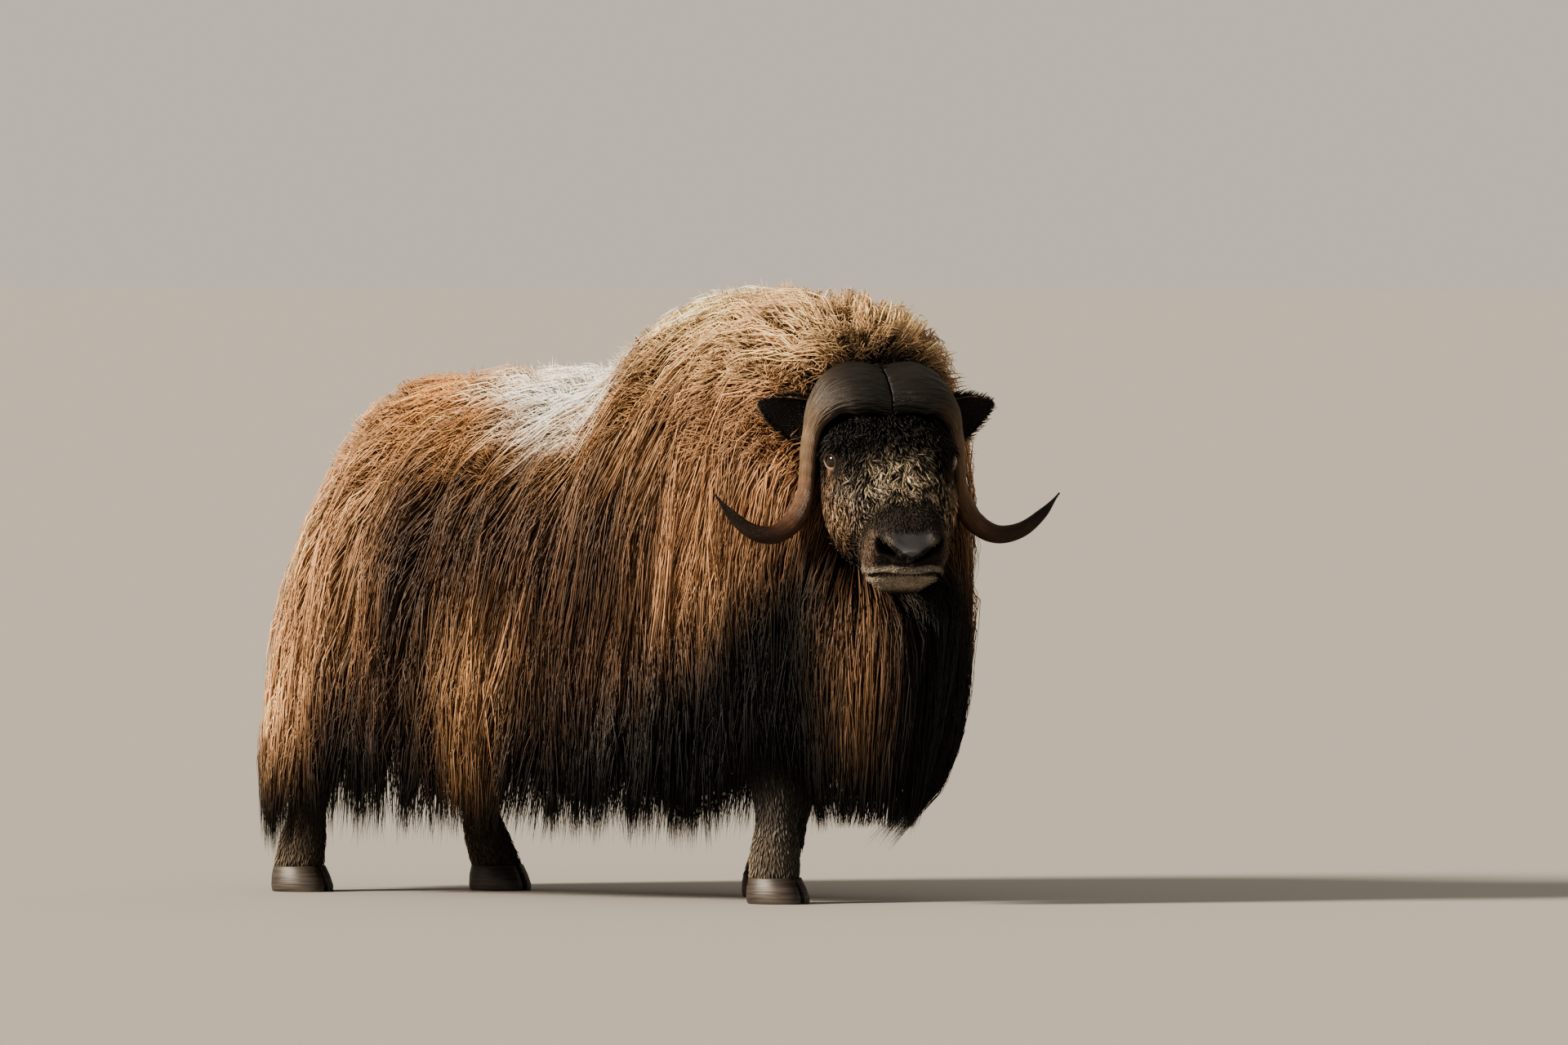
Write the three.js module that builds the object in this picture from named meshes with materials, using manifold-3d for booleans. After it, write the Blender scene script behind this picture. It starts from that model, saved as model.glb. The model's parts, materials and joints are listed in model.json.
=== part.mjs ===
// A bull muskox, life size, standing with its head turned to its right.
// Millimetres. +X points forward along the body, +Y to the animal's left, +Z up.
import * as THREE from "three";
import { mergeVertices } from "three/addons/utils/BufferGeometryUtils.js";
import Module from "manifold-3d";

const wasm = await Module();
wasm.setup();
const { Manifold, Mesh: SolidMesh } = wasm;

const { PI, sin, cos, acos, abs, sign, max, min, hypot } = Math;
const { clamp, lerp, smoothstep, degToRad } = THREE.MathUtils;
const UP = new THREE.Vector3(0, 0, 1);
const FAR = 3000;

// Clearance between two bodies that touch, and how far a root sinks into what it grows from.
const GAP = 0.3;
const ROOT_SINK = 24;

// The trunk's coat, measured at the tips of the hair. The body under the hair lies COAT_DEPTH deeper.
const COAT_DEPTH = 52;
const CHEST_X = 745;
const RUMP_X = -948;
const CROUP_X = -570;
const WITHERS_X = 470;
const HUMP_HEIGHT = 1352;
const BACK_HEIGHT = 1170;
const FLANK_WIDTH = 338;
const HEM_HEIGHT = 140;
const BELLY_HEIGHT = 425;
// Where the trunk is divided along its length.
const FLANK_FRONT_X = 130;
const FLANK_REAR_X = -410;

// The neck turns to the right. Its own frame starts at the withers, with x along the neck,
// and is skewed so that its sections stay square to the head.
const NECK_START = new THREE.Vector3(430, 25, 0);
const NECK_TURN = degToRad(-25);
const NECK_JOIN = 185;
const POLL_AT = 335;
const THROAT_AT = 600;
const NECK_CORE_BOTTOM = 560;
const BEARD_HEIGHT = 172;
const SHANK_SHOWS = 250;

// The head's own frame: x towards the muzzle, y to its left, z out of the forehead, between the eyes.
const HEAD_AT = new THREE.Vector3(880, -183, 942);
const HEAD_TURN = degToRad(-38.5);
const HEAD_PITCH = degToRad(38);
const EYE_RADIUS = 21;
const EYE_AT = new THREE.Vector3(-10, 126, 41);
const EYE_FACING = new THREE.Vector3(0.5, 0.84, 0.2);
const HEAD_BACK = -200;
const MUZZLE_TIP = 262;
const MOUTH_CORNER = 158;

// Each foot: where it stands, where its leg meets the body, and how far the joint between bends it.
const FEET = {
  front_right: { x: 560, y: -185, top: [545, -175], bend: 8 },
  front_left: { x: 265, y: 175, top: [400, 165], bend: 20 },
  hind_right: { x: -811, y: -166, top: [-700, -160], bend: -12 },
  hind_left: { x: -515, y: 175, top: [-590, 160], bend: -30 },
};
const HOOF_HEIGHT = 58;
const LEG_TOP = 470;

const COLOURS = {
  coat: ["#6b432a", 0.9],
  mane: ["#5a3522", 0.9],
  face: ["#3a2a22", 0.85],
  leg: ["#b7a893", 0.85],
  horn: ["#8b7a66", 0.6],
  hoof: ["#2b2522", 0.5],
  eye: ["#140d0a", 0.1],
};

// A smooth function through key points [at, value], level before the first and after the last.
function keyed(...keys) {
  const slopes = keys.map(([at, value], i) => {
    if (i === 0 || i === keys.length - 1) return 0;
    const before = (value - keys[i - 1][1]) / (at - keys[i - 1][0]);
    const after = (keys[i + 1][1] - value) / (keys[i + 1][0] - at);
    return before * after > 0 ? (2 * before * after) / (before + after) : 0;
  });
  return (at) => {
    if (at <= keys[0][0]) return keys[0][1];
    const next = keys.findIndex(([x]) => x > at);
    if (next < 0) return keys[keys.length - 1][1];
    const [x0, y0] = keys[next - 1];
    const [x1, y1] = keys[next];
    const t = (at - x0) / (x1 - x0);
    const rise = slopes[next - 1] * (t ** 3 - 2 * t ** 2 + t) + slopes[next] * (t ** 3 - t ** 2);
    return y0 + (y1 - y0) * t * t * (3 - 2 * t) + (x1 - x0) * rise;
  };
}

// A repeatable stream of numbers from 0 to 1.
function draws(seed) {
  let state = seed;
  return () => {
    state = (state + 0x6d2b79f5) | 0;
    let mixed = Math.imul(state ^ (state >>> 15), 1 | state);
    mixed = (mixed + Math.imul(mixed ^ (mixed >>> 7), 61 | mixed)) ^ mixed;
    return ((mixed ^ (mixed >>> 14)) >>> 0) / 4294967296;
  };
}

const power = (value, exponent) => sign(value) * abs(value) ** exponent;
const hill = (distance, reach) => Math.exp(-((distance / reach) ** 2));

// A geometry's closed surface as a solid, without the faces that collapse to a line.
function solidOf(geometry) {
  const bare = geometry.clone();
  bare.deleteAttribute("normal");
  bare.deleteAttribute("uv");
  const merged = mergeVertices(bare, 1e-3);
  const index = merged.index.array;
  const kept = [];
  for (let i = 0; i < index.length; i += 3) {
    const [a, b, c] = index.slice(i, i + 3);
    if (a !== b && b !== c && c !== a) kept.push(a, b, c);
  }
  const solid = new SolidMesh({
    numProp: 3,
    vertProperties: merged.attributes.position.array,
    triVerts: new Uint32Array(kept),
  });
  return new Manifold(solid);
}

// A closed skin over rings that hold the same number of points, with a flat fan at each end.
// Rings that would face inwards are taken in the other order.
function loft(rings) {
  const solid = skinOver(rings);
  return solid.volume() < 0 ? skinOver([...rings].reverse()) : solid;
}

function skinOver(rings) {
  const size = rings[0].length;
  const points = rings.flat();
  const faces = [];
  for (let ring = 0; ring < rings.length - 1; ring++) {
    for (let i = 0; i < size; i++) {
      const a = ring * size + i;
      const b = ring * size + ((i + 1) % size);
      faces.push(a, b, b + size, a, b + size, a + size);
    }
  }
  const ends = [rings[0], rings[rings.length - 1]];
  ends.forEach((ring, end) => {
    const centre = ring.reduce((sum, p) => sum.add(p), new THREE.Vector3()).divideScalar(size);
    const hub = points.push(centre) - 1;
    const first = end ? (rings.length - 1) * size : 0;
    for (let i = 0; i < size; i++) {
      const a = first + i;
      const b = first + ((i + 1) % size);
      faces.push(...(end ? [a, b, hub] : [b, a, hub]));
    }
  });
  const geometry = new THREE.BufferGeometry().setFromPoints(points);
  geometry.setIndex(faces);
  return solidOf(geometry);
}

// Points at even angles round a ring, each from its angle.
function ringOf(count, place) {
  const ring = [];
  for (let i = 0; i < count; i++) ring.push(place((i / count) * 2 * PI));
  return ring;
}

// A tube along points, with a radius at each and a given number of sides.
function tubeAlong(points, radii, sides) {
  const rings = points.map((point, i) => {
    const before = points[max(0, i - 1)];
    const after = points[min(points.length - 1, i + 1)];
    const along = after.clone().sub(before).normalize();
    const across = along.clone().cross(UP).normalize();
    const up = across.clone().cross(along);
    return ringOf(sides, (angle) =>
      point
        .clone()
        .addScaledVector(across, radii[i] * cos(angle))
        .addScaledVector(up, radii[i] * sin(angle)),
    );
  });
  return loft(rings);
}

function largest(solid) {
  return solid.decompose().reduce((best, body) => (body.volume() > best.volume() ? body : best));
}

function boxBetween(low, high) {
  const size = high.clone().sub(low);
  const centre = low.clone().add(high).divideScalar(2);
  return solidOf(new THREE.BoxGeometry(size.x, size.y, size.z)).translate(centre.toArray());
}

function ball(centre, radius) {
  const sphere = new THREE.SphereGeometry(radius, 12, 8);
  return solidOf(sphere).translate(centre.toArray());
}

// A flat lock of hair: a strip with a ridge along its outer face, blunt at the root and pointed at the tip.
// path(t) gives the point, the direction across the lock and the direction out of the coat.
const LOCK_STATIONS = [0, 0.36, 0.68, 0.87];
function lockOf(path, width, thickness) {
  const rings = LOCK_STATIONS.map((t) => {
    const { point, across, out } = path(t);
    const half = (width / 2) * (1 - t ** 3.4) * (0.8 + 0.42 * t);
    const ridge = thickness * (1 - 0.5 * t);
    return [
      point.clone().addScaledVector(across, half),
      point.clone().addScaledVector(out, ridge),
      point.clone().addScaledVector(across, -half),
    ];
  });
  const tip = path(1).point;
  rings.push([tip, tip, tip]);
  return loft(rings);
}

// The side of a coat from its parting to its hem: an arc down to the widest level, then hanging hair.
// spread is the share of the way out to the rim, sink the share of the height that is lost.
function hanging(fall, { share, widest, round, flare }) {
  if (fall < share) {
    const arc = (fall / share) * (PI / 2);
    return { spread: sin(arc) ** round, sink: widest * (1 - cos(arc) ** round) };
  }
  const below = (fall - share) / (1 - share);
  return { spread: 1 + flare * below ** 1.5, sink: lerp(widest, 1, below) };
}

// A coat parts along a spine line and falls over both sides and both ends to a hem.
// turn goes round it (0 front, PI/2 left, PI rear), fall runs from 0 at the parting to 1 at the hem,
// and inset is the depth under the tips of the hair.
const EMERGE = 0.7;
class Coat {
  constructor(sizes) {
    Object.assign(this, sizes);
    this.turns = this.evenTurns();
  }

  rim(turn, inset) {
    const middle = (this.front + this.rear) / 2;
    const reach = (this.front - this.rear) / 2 - inset;
    const x = middle + reach * power(cos(turn), 2 / this.squareness);
    const y = (this.halfWidth(x) - inset) * power(sin(turn), 2 / this.squareness);
    return [x, y];
  }

  at(turn, fall, inset = 0) {
    const [rimX, rimY] = this.rim(turn, inset);
    const ridgeX = clamp(rimX, this.spineRear, this.spineFront);
    const ridgeZ = this.ridge(ridgeX) - inset;
    const { spread, sink } = this.profile(turn, fall);
    const z = lerp(ridgeZ, this.hem(turn), sink);
    const local = new THREE.Vector3(ridgeX + (rimX - ridgeX) * spread, rimY * spread, z);
    return local.applyMatrix4(this.frame);
  }

  // The direction out of the coat.
  outAt(turn, fall) {
    const level = clamp(fall, 0.03, 0.97);
    const round = this.at(turn + 0.02, level).sub(this.at(turn - 0.02, level));
    const down = this.at(turn, level + 0.02).sub(this.at(turn, level - 0.02));
    return down.cross(round).normalize();
  }

  // Angles of turn that divide the rim into equal lengths, as a function of the share of the way round.
  evenTurns() {
    const steps = 720;
    const lengths = [0];
    let before = this.rim(0, 0);
    for (let i = 1; i <= steps; i++) {
      const here = this.rim((i / steps) * 2 * PI, 0);
      lengths.push(lengths[i - 1] + hypot(here[0] - before[0], here[1] - before[1]));
      before = here;
    }
    return (share) => {
      const wanted = (((share % 1) + 1) % 1) * lengths[steps];
      const next = max(1, lengths.findIndex((length) => length >= wanted));
      const part = (wanted - lengths[next - 1]) / (lengths[next] - lengths[next - 1]);
      return ((next - 1 + part) / steps) * 2 * PI;
    };
  }

  // The turn on the left side at which the rim passes x.
  turnAt(x) {
    const middle = (this.front + this.rear) / 2;
    const share = (x - middle) / ((this.front - this.rear) / 2);
    return acos(clamp(power(share, this.squareness / 2), -1, 1));
  }

  // The closed body under the hair, down to a rounded underside.
  core(around, falls, inset, bottom) {
    const rings = falls.map((fall) => {
      const ring = [];
      for (let i = 0; i < around; i++) ring.push(this.at(this.turns((i + 0.5) / around), fall, inset));
      return ring;
    });
    const lowest = rings[rings.length - 1];
    const centre = lowest.reduce((sum, p) => sum.add(p), new THREE.Vector3()).divideScalar(around);
    for (const [share, drop] of [[0.86, 0.55], [0.6, 0.9]]) {
      const ring = lowest.map((p) => {
        const inner = centre.clone().lerp(p, share);
        return inner.setZ(lerp(p.z, bottom, drop));
      });
      rings.push(ring);
    }
    return loft(rings);
  }

  // The way along one lock from one place [turn, fall] to another. It starts under the surface
  // of the body, comes out to the tips of the coat and sways a little from side to side.
  path({ from, to, sway, lift }) {
    const place = (t) => {
      const turn = lerp(from[0], to[0], t) + sway * sin(2 * PI * t);
      const depth = lerp(COAT_DEPTH + ROOT_SINK, lift, min(1, t / EMERGE) ** 0.8);
      return this.at(turn, lerp(from[1], to[1], t), depth);
    };
    const normal = this.outAt((from[0] + to[0]) / 2, lerp(from[1], to[1], 0.6));
    return (t) => {
      const point = place(t);
      const along = place(min(1, t + 0.05)).sub(place(max(0, t - 0.05))).normalize();
      const across = along.clone().cross(normal).normalize();
      const out = across.clone().cross(along);
      return { point, across, out };
    };
  }

  lock({ width, thickness, ...way }, draw) {
    const path = this.path(way);
    const made = lockOf(path, width * (0.9 + 0.2 * draw()), thickness);
    return made;
  }

  // One tier of locks all round, hanging down.
  tier({ count, start, end, width, thickness, ragged, shift, lift }, draw) {
    const locks = [];
    for (let i = 0; i < count; i++) {
      const turn = this.turns((i + shift) / count);
      const lock = {
        from: [turn, max(0.03, start + 0.03 * (draw() - 0.5))],
        to: [turn + 0.04 * (draw() - 0.5), end + ragged * 2 * (draw() - 0.5)],
        sway: 0.012 * (draw() - 0.5),
        lift: lift + 8 * (i % 2),
        width,
        thickness,
      };
      locks.push(this.lock(lock, draw));
    }
    return locks;
  }

  // Rows of locks on both sides of the parting, lying rearwards along the back.
  crest({ rows, first, last, step, length, width, thickness, lift }, draw) {
    const locks = [];
    for (const mirror of [1, -1]) {
      for (const [row, fall] of rows.entries()) {
        for (let x = first - (row % 2) * (step / 2); x > last; x -= step) {
          const lock = {
            from: [mirror * this.turnAt(x), fall],
            to: [mirror * this.turnAt(x - length), fall * 1.7],
            sway: 0.02 * (draw() - 0.5),
            lift: lift + 8 * draw(),
            width,
            thickness,
          };
          locks.push(this.lock(lock, draw));
        }
      }
    }
    return locks;
  }
}

const rumpSpread = keyed(
  [0, 0],
  [0.05, 0.18],
  [0.164, 0.47],
  [0.34, 0.72],
  [0.525, 0.88],
  [0.71, 0.98],
  [0.85, 1.03],
  [1, 1.03],
);
const trunkCoat = new Coat({
  front: CHEST_X,
  rear: RUMP_X,
  spineFront: WITHERS_X,
  spineRear: CROUP_X,
  squareness: 3,
  halfWidth: keyed([-900, 322], [-400, 345], [60, FLANK_WIDTH], [420, 352]),
  ridge: keyed(
    [-570, 1152],
    [-300, BACK_HEIGHT],
    [0, 1174],
    [60, 1188],
    [110, 1238],
    [165, 1290],
    [235, 1326],
    [310, 1346],
    [420, HUMP_HEIGHT],
  ),
  profile: (turn, fall) => {
    const side = hanging(fall, { share: 0.56, widest: 0.56, round: 0.9, flare: -0.05 });
    const sink = fall ** 1.2;
    const rear = max(0, -cos(turn)) ** 2;
    return {
      spread: lerp(side.spread, rumpSpread(sink), rear),
      sink: lerp(side.sink, sink, rear),
    };
  },
  hem: (turn) => {
    const round = (((turn / PI) % 2) + 2) % 2;
    return HEM_HEIGHT - 42 * hill(round - 1.2, 0.14) + 110 * hill(round - 0.22, 0.12);
  },
  frame: new THREE.Matrix4(),
});

const neckFrame = new THREE.Matrix4()
  .makeBasis(
    new THREE.Vector3(cos(NECK_TURN), sin(NECK_TURN), 0),
    new THREE.Vector3(-sin(HEAD_TURN), cos(HEAD_TURN), 0),
    UP,
  )
  .setPosition(NECK_START);
// Under the head the coat runs down behind the horns and the jaw, then forward to the beard under the chin.
const throatSpread = keyed([0, 0], [0.12, 0.1], [0.42, 0.16], [0.52, 0.72], [0.6, 1], [1, 0.66]);
const throatSink = keyed([0, 0], [0.12, 0.07], [0.42, 0.39], [0.52, 0.5], [0.6, 0.58], [1, 1]);
const neckCoat = new Coat({
  front: THROAT_AT,
  rear: -60,
  spineFront: POLL_AT,
  spineRear: 60,
  squareness: 2.3,
  halfWidth: keyed([100, 350], [185, 338], [260, 300], [391, 225], [560, 160]),
  ridge: keyed([0, HUMP_HEIGHT], [150, 1346], [260, 1326], [335, 1284]),
  profile: (turn, fall) => {
    const below = max(0, fall - 0.5) / 0.5;
    const far = smoothstep(sin(turn), 0, 0.6);
    const flare = lerp(-0.06, -0.36, smoothstep(cos(turn), -0.25, 0.6)) - far * (0.1 + 0.34 * below ** 8);
    const side = hanging(fall, { share: 0.5, widest: 0.45, round: 0.7, flare });
    const ahead = smoothstep(cos(turn), 0.25, 0.8);
    return {
      spread: lerp(side.spread, throatSpread(fall), ahead),
      sink: lerp(side.sink, throatSink(fall), ahead),
    };
  },
  hem: (turn) => {
    const round = (((turn / PI) % 2) + 2) % 2;
    const rearwards = smoothstep(-cos(turn), 0, 0.3);
    const open = hill(round - 1.56, 0.06);
    return lerp(BEARD_HEIGHT, HEM_HEIGHT, rearwards) + (SHANK_SHOWS - BEARD_HEIGHT) * open;
  },
  frame: neckFrame,
});

// Regions that part the trunk and the neck from one another.
function slab(lowX, highX, lowY, highY) {
  return boxBetween(new THREE.Vector3(lowX, lowY, -10), new THREE.Vector3(highX, highY, 2000));
}
const behindNeck = slab(-FAR, NECK_JOIN - GAP / 2, -FAR, FAR).transform(neckFrame.elements);
const aheadOfShoulder = slab(NECK_JOIN + GAP / 2, FAR, -FAR, FAR).transform(neckFrame.elements);
const SIDES = { left: [GAP / 2, FAR], right: [-FAR, -GAP / 2] };
const LENGTHS = {
  shoulder: [FLANK_FRONT_X + GAP / 2, FAR],
  flank: [FLANK_REAR_X + GAP / 2, FLANK_FRONT_X - GAP / 2],
  haunch: [-FAR, FLANK_REAR_X - GAP / 2],
};

// Places in the head's frame, to the left for side 1 and to the right for side -1.
const headMatrix = new THREE.Matrix4()
  .makeRotationZ(HEAD_TURN)
  .multiply(new THREE.Matrix4().makeRotationY(HEAD_PITCH))
  .setPosition(HEAD_AT);
const headSide = (place, side) => new THREE.Vector3(place.x, place.y * side, place.z);

// The head's outline along its length: the profile above and below, the half-width,
// the level where it is widest, and how square its section is above that level.
const headTop = keyed(
  [-200, 70],
  [-165, 104],
  [-110, 112],
  [-40, 104],
  [20, 92],
  [110, 74],
  [190, 62],
  [232, 46],
  [262, 2],
);
const headBottom = keyed(
  [-200, -60],
  [-140, -122],
  [-70, -156],
  [40, -164],
  [100, -156],
  [150, -138],
  [185, -134],
  [214, -150],
  [240, -132],
  [262, -62],
);
const headHalf = keyed(
  [-200, 80],
  [-140, 117],
  [-60, 137],
  [30, 141],
  [80, 134],
  [125, 111],
  [165, 91],
  [220, 90],
  [246, 76],
  [262, 38],
);
const headWide = keyed([-200, 10], [-60, -8], [60, -50], [125, -70], [180, -48], [262, -34]);
const headSquare = keyed([-160, 2.6], [0, 2.5], [110, 2], [200, 2.4]);

function headPoint(along, angle) {
  const middle = headWide(along);
  const up = cos(angle);
  const rise = up > 0 ? headTop(along) - middle : middle - headBottom(along);
  const roundness = 2 / (up > 0 ? headSquare(along) : 2.1);
  const y = headHalf(along) * power(sin(angle), roundness);
  const z = middle + rise * power(up, roundness);
  // The rim of the eye socket stands out, and the cheek sinks in front of it.
  const socket = 12 * hill(hypot(along - EYE_AT.x + 8, z - EYE_AT.z - 8), 36);
  const hollow = 9 * hill(hypot((along - EYE_AT.x - 72) / 1.6, z - EYE_AT.z + 12), 24);
  return new THREE.Vector3(along, y + sign(y) * (socket - hollow), z);
}

// The half-width of the head at a level below its widest.
function headReach(along, z) {
  const middle = headWide(along);
  const share = clamp((middle - z) / (middle - headBottom(along)), 0, 1);
  return headHalf(along) * (1 - share ** 2.1) ** (1 / 2.1);
}

const HEAD_STATIONS = [-200, -170, -120, -70, -30, 5, 45, 85, 122, 154, 182, 206, 228, 246, 262];
function headSolid() {
  return loft(HEAD_STATIONS.map((along) => ringOf(22, (angle) => headPoint(along, angle))));
}

// The space that the neck leaves for the head, with some room round the face and the usual gap behind.
const HEAD_ROOM = 9;
function headRoom() {
  const rings = [HEAD_BACK - GAP, -150, -90, -30, 40, 110, 180, 235, MUZZLE_TIP].map((along) => {
    const centre = new THREE.Vector3(along, 0, headWide(along));
    return ringOf(14, (angle) => {
      const p = headPoint(along, angle);
      return p.addScaledVector(p.clone().sub(centre).normalize(), HEAD_ROOM);
    });
  });
  return loft(rings);
}

// Each nostril is a comma that runs from the side of the nose down to its middle.
const NOSTRIL = { top: [228, 70, 12], bend: [246, 54, -14], foot: [258, 9, -20] };
const nostrilWidth = keyed([0, 5], [0.3, 13], [0.6, 9], [1, 4]);
const nostrilDepth = keyed([0, 10], [0.3, 26], [0.7, 20], [1, 10]);

function nostrilLine(side) {
  const [top, bend, foot] = Object.values(NOSTRIL).map(([x, y, z]) => new THREE.Vector3(x, y * side, z));
  return new THREE.QuadraticBezierCurve3(top, bend, foot);
}

function nostril(side) {
  const line = nostrilLine(side);
  const inwards = new THREE.Vector3(-0.9, -0.32 * side, -0.2).normalize();
  const rings = [0, 0.2, 0.5, 0.8, 1].map((t) => {
    const centre = line.getPoint(t);
    const across = line.getTangent(t).cross(inwards).normalize();
    return ringOf(8, (angle) =>
      centre
        .clone()
        .addScaledVector(across, nostrilWidth(t) * cos(angle))
        .addScaledVector(inwards, nostrilDepth(t) * sin(angle)),
    );
  });
  return loft(rings);
}

// The wing of the nose is a fold round the upper and outer side of the nostril.
function nostrilWing(side) {
  const line = nostrilLine(side);
  const points = [0.02, 0.22, 0.44, 0.66].map((t) => {
    const place = line.getPoint(t);
    return place.add(new THREE.Vector3(-3, -side * 3, 14));
  });
  return tubeAlong(points, [5, 9, 8, 4], 5);
}

// The mouth: a line from corner to corner round the muzzle, cut in as a wedge between two rolled lips.
const mouthLevel = keyed([150, -104], [205, -102], [230, -90], [246, -76], [262, -61]);
function mouthLine() {
  const left = [0, 0.35, 0.62, 0.82, 0.95].map((t) => {
    const along = lerp(MOUTH_CORNER, 254, t);
    const z = mouthLevel(along);
    return new THREE.Vector3(along, headReach(along, z), z);
  });
  const right = left.map((p) => headSide(p, -1)).reverse();
  return [...left, ...right];
}

function mouthCut() {
  const centre = new THREE.Vector3(120, 0, 0);
  const rings = mouthLine().map((p) => {
    const out = p.clone().sub(centre).setZ(0).normalize();
    const edge = (reach, rise) => p.clone().addScaledVector(out, reach).addScaledVector(UP, rise);
    return [edge(20, 3.5), edge(20, -3.5), edge(-15, -0.8), edge(-15, 0.8)];
  });
  return loft(rings);
}

function lip(rise, radius) {
  const points = mouthLine().map((p) => p.clone().add(new THREE.Vector3(-3, 0, rise)));
  const radii = points.map((_, i) => radius * (0.45 + 0.55 * sin(((i + 0.5) / points.length) * PI) ** 0.6));
  return tubeAlong(points, radii, 5);
}

// A lid is a thick rim of skin round each eye, flattened to an almond. It opens outwards and ahead.
function eyeLids(side) {
  const facing = headSide(EYE_FACING, side).normalize();
  const long = new THREE.Vector3(1, 0, 0).addScaledVector(facing, -facing.x).normalize();
  const high = facing.clone().cross(long);
  const rim = new THREE.TorusGeometry(EYE_RADIUS * 0.88, 6.5, 5, 12);
  rim.scale(1.14, 0.86, 1);
  rim.applyMatrix4(new THREE.Matrix4().makeBasis(long, high, facing));
  return solidOf(rim).translate(headSide(EYE_AT, side).addScaledVector(facing, 9).toArray());
}

// Horns: the boss starts at the midline of the forehead, the horn sweeps down beside the cheek
// and hooks out and up to a point.
const BOSS_CLEFT = 8;
const HORN_LINE = [
  [-151, -6, 120],
  [-157, 58, 126],
  [-153, 110, 112],
  [-132, 147, 74],
  [-98, 165, 22],
  [-62, 170, -28],
  [-22, 178, -76],
  [16, 206, -112],
  [42, 252, -126],
  [46, 304, -112],
  [30, 352, -78],
  [5, 390, -40],
];
const hornBreadth = keyed(
  [0, 82],
  [0.12, 84],
  [0.24, 62],
  [0.34, 38],
  [0.5, 30],
  [0.66, 26],
  [0.88, 14],
  [1, 3],
);
const hornDepth = keyed(
  [0, 40],
  [0.12, 42],
  [0.24, 30],
  [0.34, 18],
  [0.5, 17],
  [0.62, 23],
  [0.72, 22],
  [0.9, 12],
  [1, 3],
);

function horn(side, { grow = 0, steps = 16, around = 10 } = {}) {
  const line = new THREE.CatmullRomCurve3(HORN_LINE.map(([x, y, z]) => new THREE.Vector3(x, y * side, z)));
  const rings = [];
  for (let i = 0; i <= steps; i++) {
    const t = i / steps;
    const centre = line.getPointAt(t);
    const tangent = line.getTangentAt(t);
    // The flat of the horn lies on the forehead, then faces the cheek.
    const aft = new THREE.Vector3(1, 0, lerp(0.16, 0.78, smoothstep(t, 0.12, 0.4)));
    aft.addScaledVector(tangent, -aft.dot(tangent)).normalize();
    const out = tangent.clone().cross(aft).normalize();
    const broad = hornBreadth(t) + grow;
    const deep = hornDepth(t) + grow;
    rings.push(
      ringOf(around, (angle) =>
        centre
          .clone()
          .addScaledVector(aft, broad * power(cos(angle), 0.84))
          .addScaledVector(out, deep * power(sin(angle), 0.84)),
      ),
    );
  }
  const near = side * (BOSS_CLEFT / 2 - grow);
  const ownSide = boxBetween(
    new THREE.Vector3(-FAR, min(near, side * FAR), -FAR),
    new THREE.Vector3(FAR, max(near, side * FAR), FAR),
  );
  return loft(rings).intersect(ownSide);
}

// An ear is a pointed cup that opens forward, set behind the horn.
const EAR_ROOT = new THREE.Vector3(-128, 100, 22);
const EAR_TIP = new THREE.Vector3(-200, 266, 52);
const EAR_FACING = new THREE.Vector3(0.86, 0.1, 0.42);
const earWidth = keyed([0, 40], [0.35, 56], [0.65, 44], [0.87, 22], [1, 4]);
const earDepth = keyed([0, 24], [0.4, 26], [0.8, 14], [1, 4]);
const EAR_WALL = 7;

// Across an ear the outer skin is a half round, and the inner skin follows it back, the cup's depth lower.
function ear(side, { grow = 0, arc = 5, stations = [0, 0.18, 0.4, 0.65, 0.88, 1] } = {}) {
  const root = headSide(EAR_ROOT, side);
  const tip = headSide(EAR_TIP, side);
  const along = tip.clone().sub(root).normalize();
  root.addScaledVector(along, -grow);
  const ahead = headSide(EAR_FACING, side);
  ahead.addScaledVector(along, -ahead.dot(along)).normalize();
  const across = ahead.clone().cross(along).normalize();
  const rings = stations.map((t) => {
    const centre = root.clone().lerp(tip, t);
    const wide = earWidth(t) + grow;
    const deep = earDepth(t) + grow;
    const hollow = grow ? 0 : min(1, t / 0.3) * (1 - t ** 4);
    const section = [];
    for (let i = 0; i <= arc; i++) {
      const angle = lerp(-PI / 2, PI / 2, i / arc);
      section.push([wide * sin(angle), -deep * cos(angle)]);
    }
    for (let i = arc - 1; i > 0; i--) {
      const angle = lerp(-PI / 2, PI / 2, i / arc);
      const inner = max(0, deep - EAR_WALL) * hollow;
      section.push([(wide - EAR_WALL * hollow) * sin(angle), grow - inner * cos(angle)]);
    }
    return section.map(([u, v]) => centre.clone().addScaledVector(across, u).addScaledVector(ahead, v));
  });
  return loft(rings);
}

// A leg: furred, thicker at the knee or hock and at the fetlock, flat where it meets the hoof.
const LEG_GIRTH = {
  front: {
    wide: keyed([58, 56], [100, 58], [180, 47], [290, 60], [470, 74]),
    deep: keyed([58, 60], [100, 61], [180, 50], [290, 62], [470, 88]),
  },
  hind: {
    wide: keyed([58, 54], [100, 54], [190, 42], [330, 54], [470, 70]),
    deep: keyed([58, 62], [100, 60], [190, 48], [330, 70], [470, 92]),
  },
};
const LEG_LEVELS = [HOOF_HEIGHT + GAP, 82, 118, 165, 220, 275, 330, 400, LEG_TOP];

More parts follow.
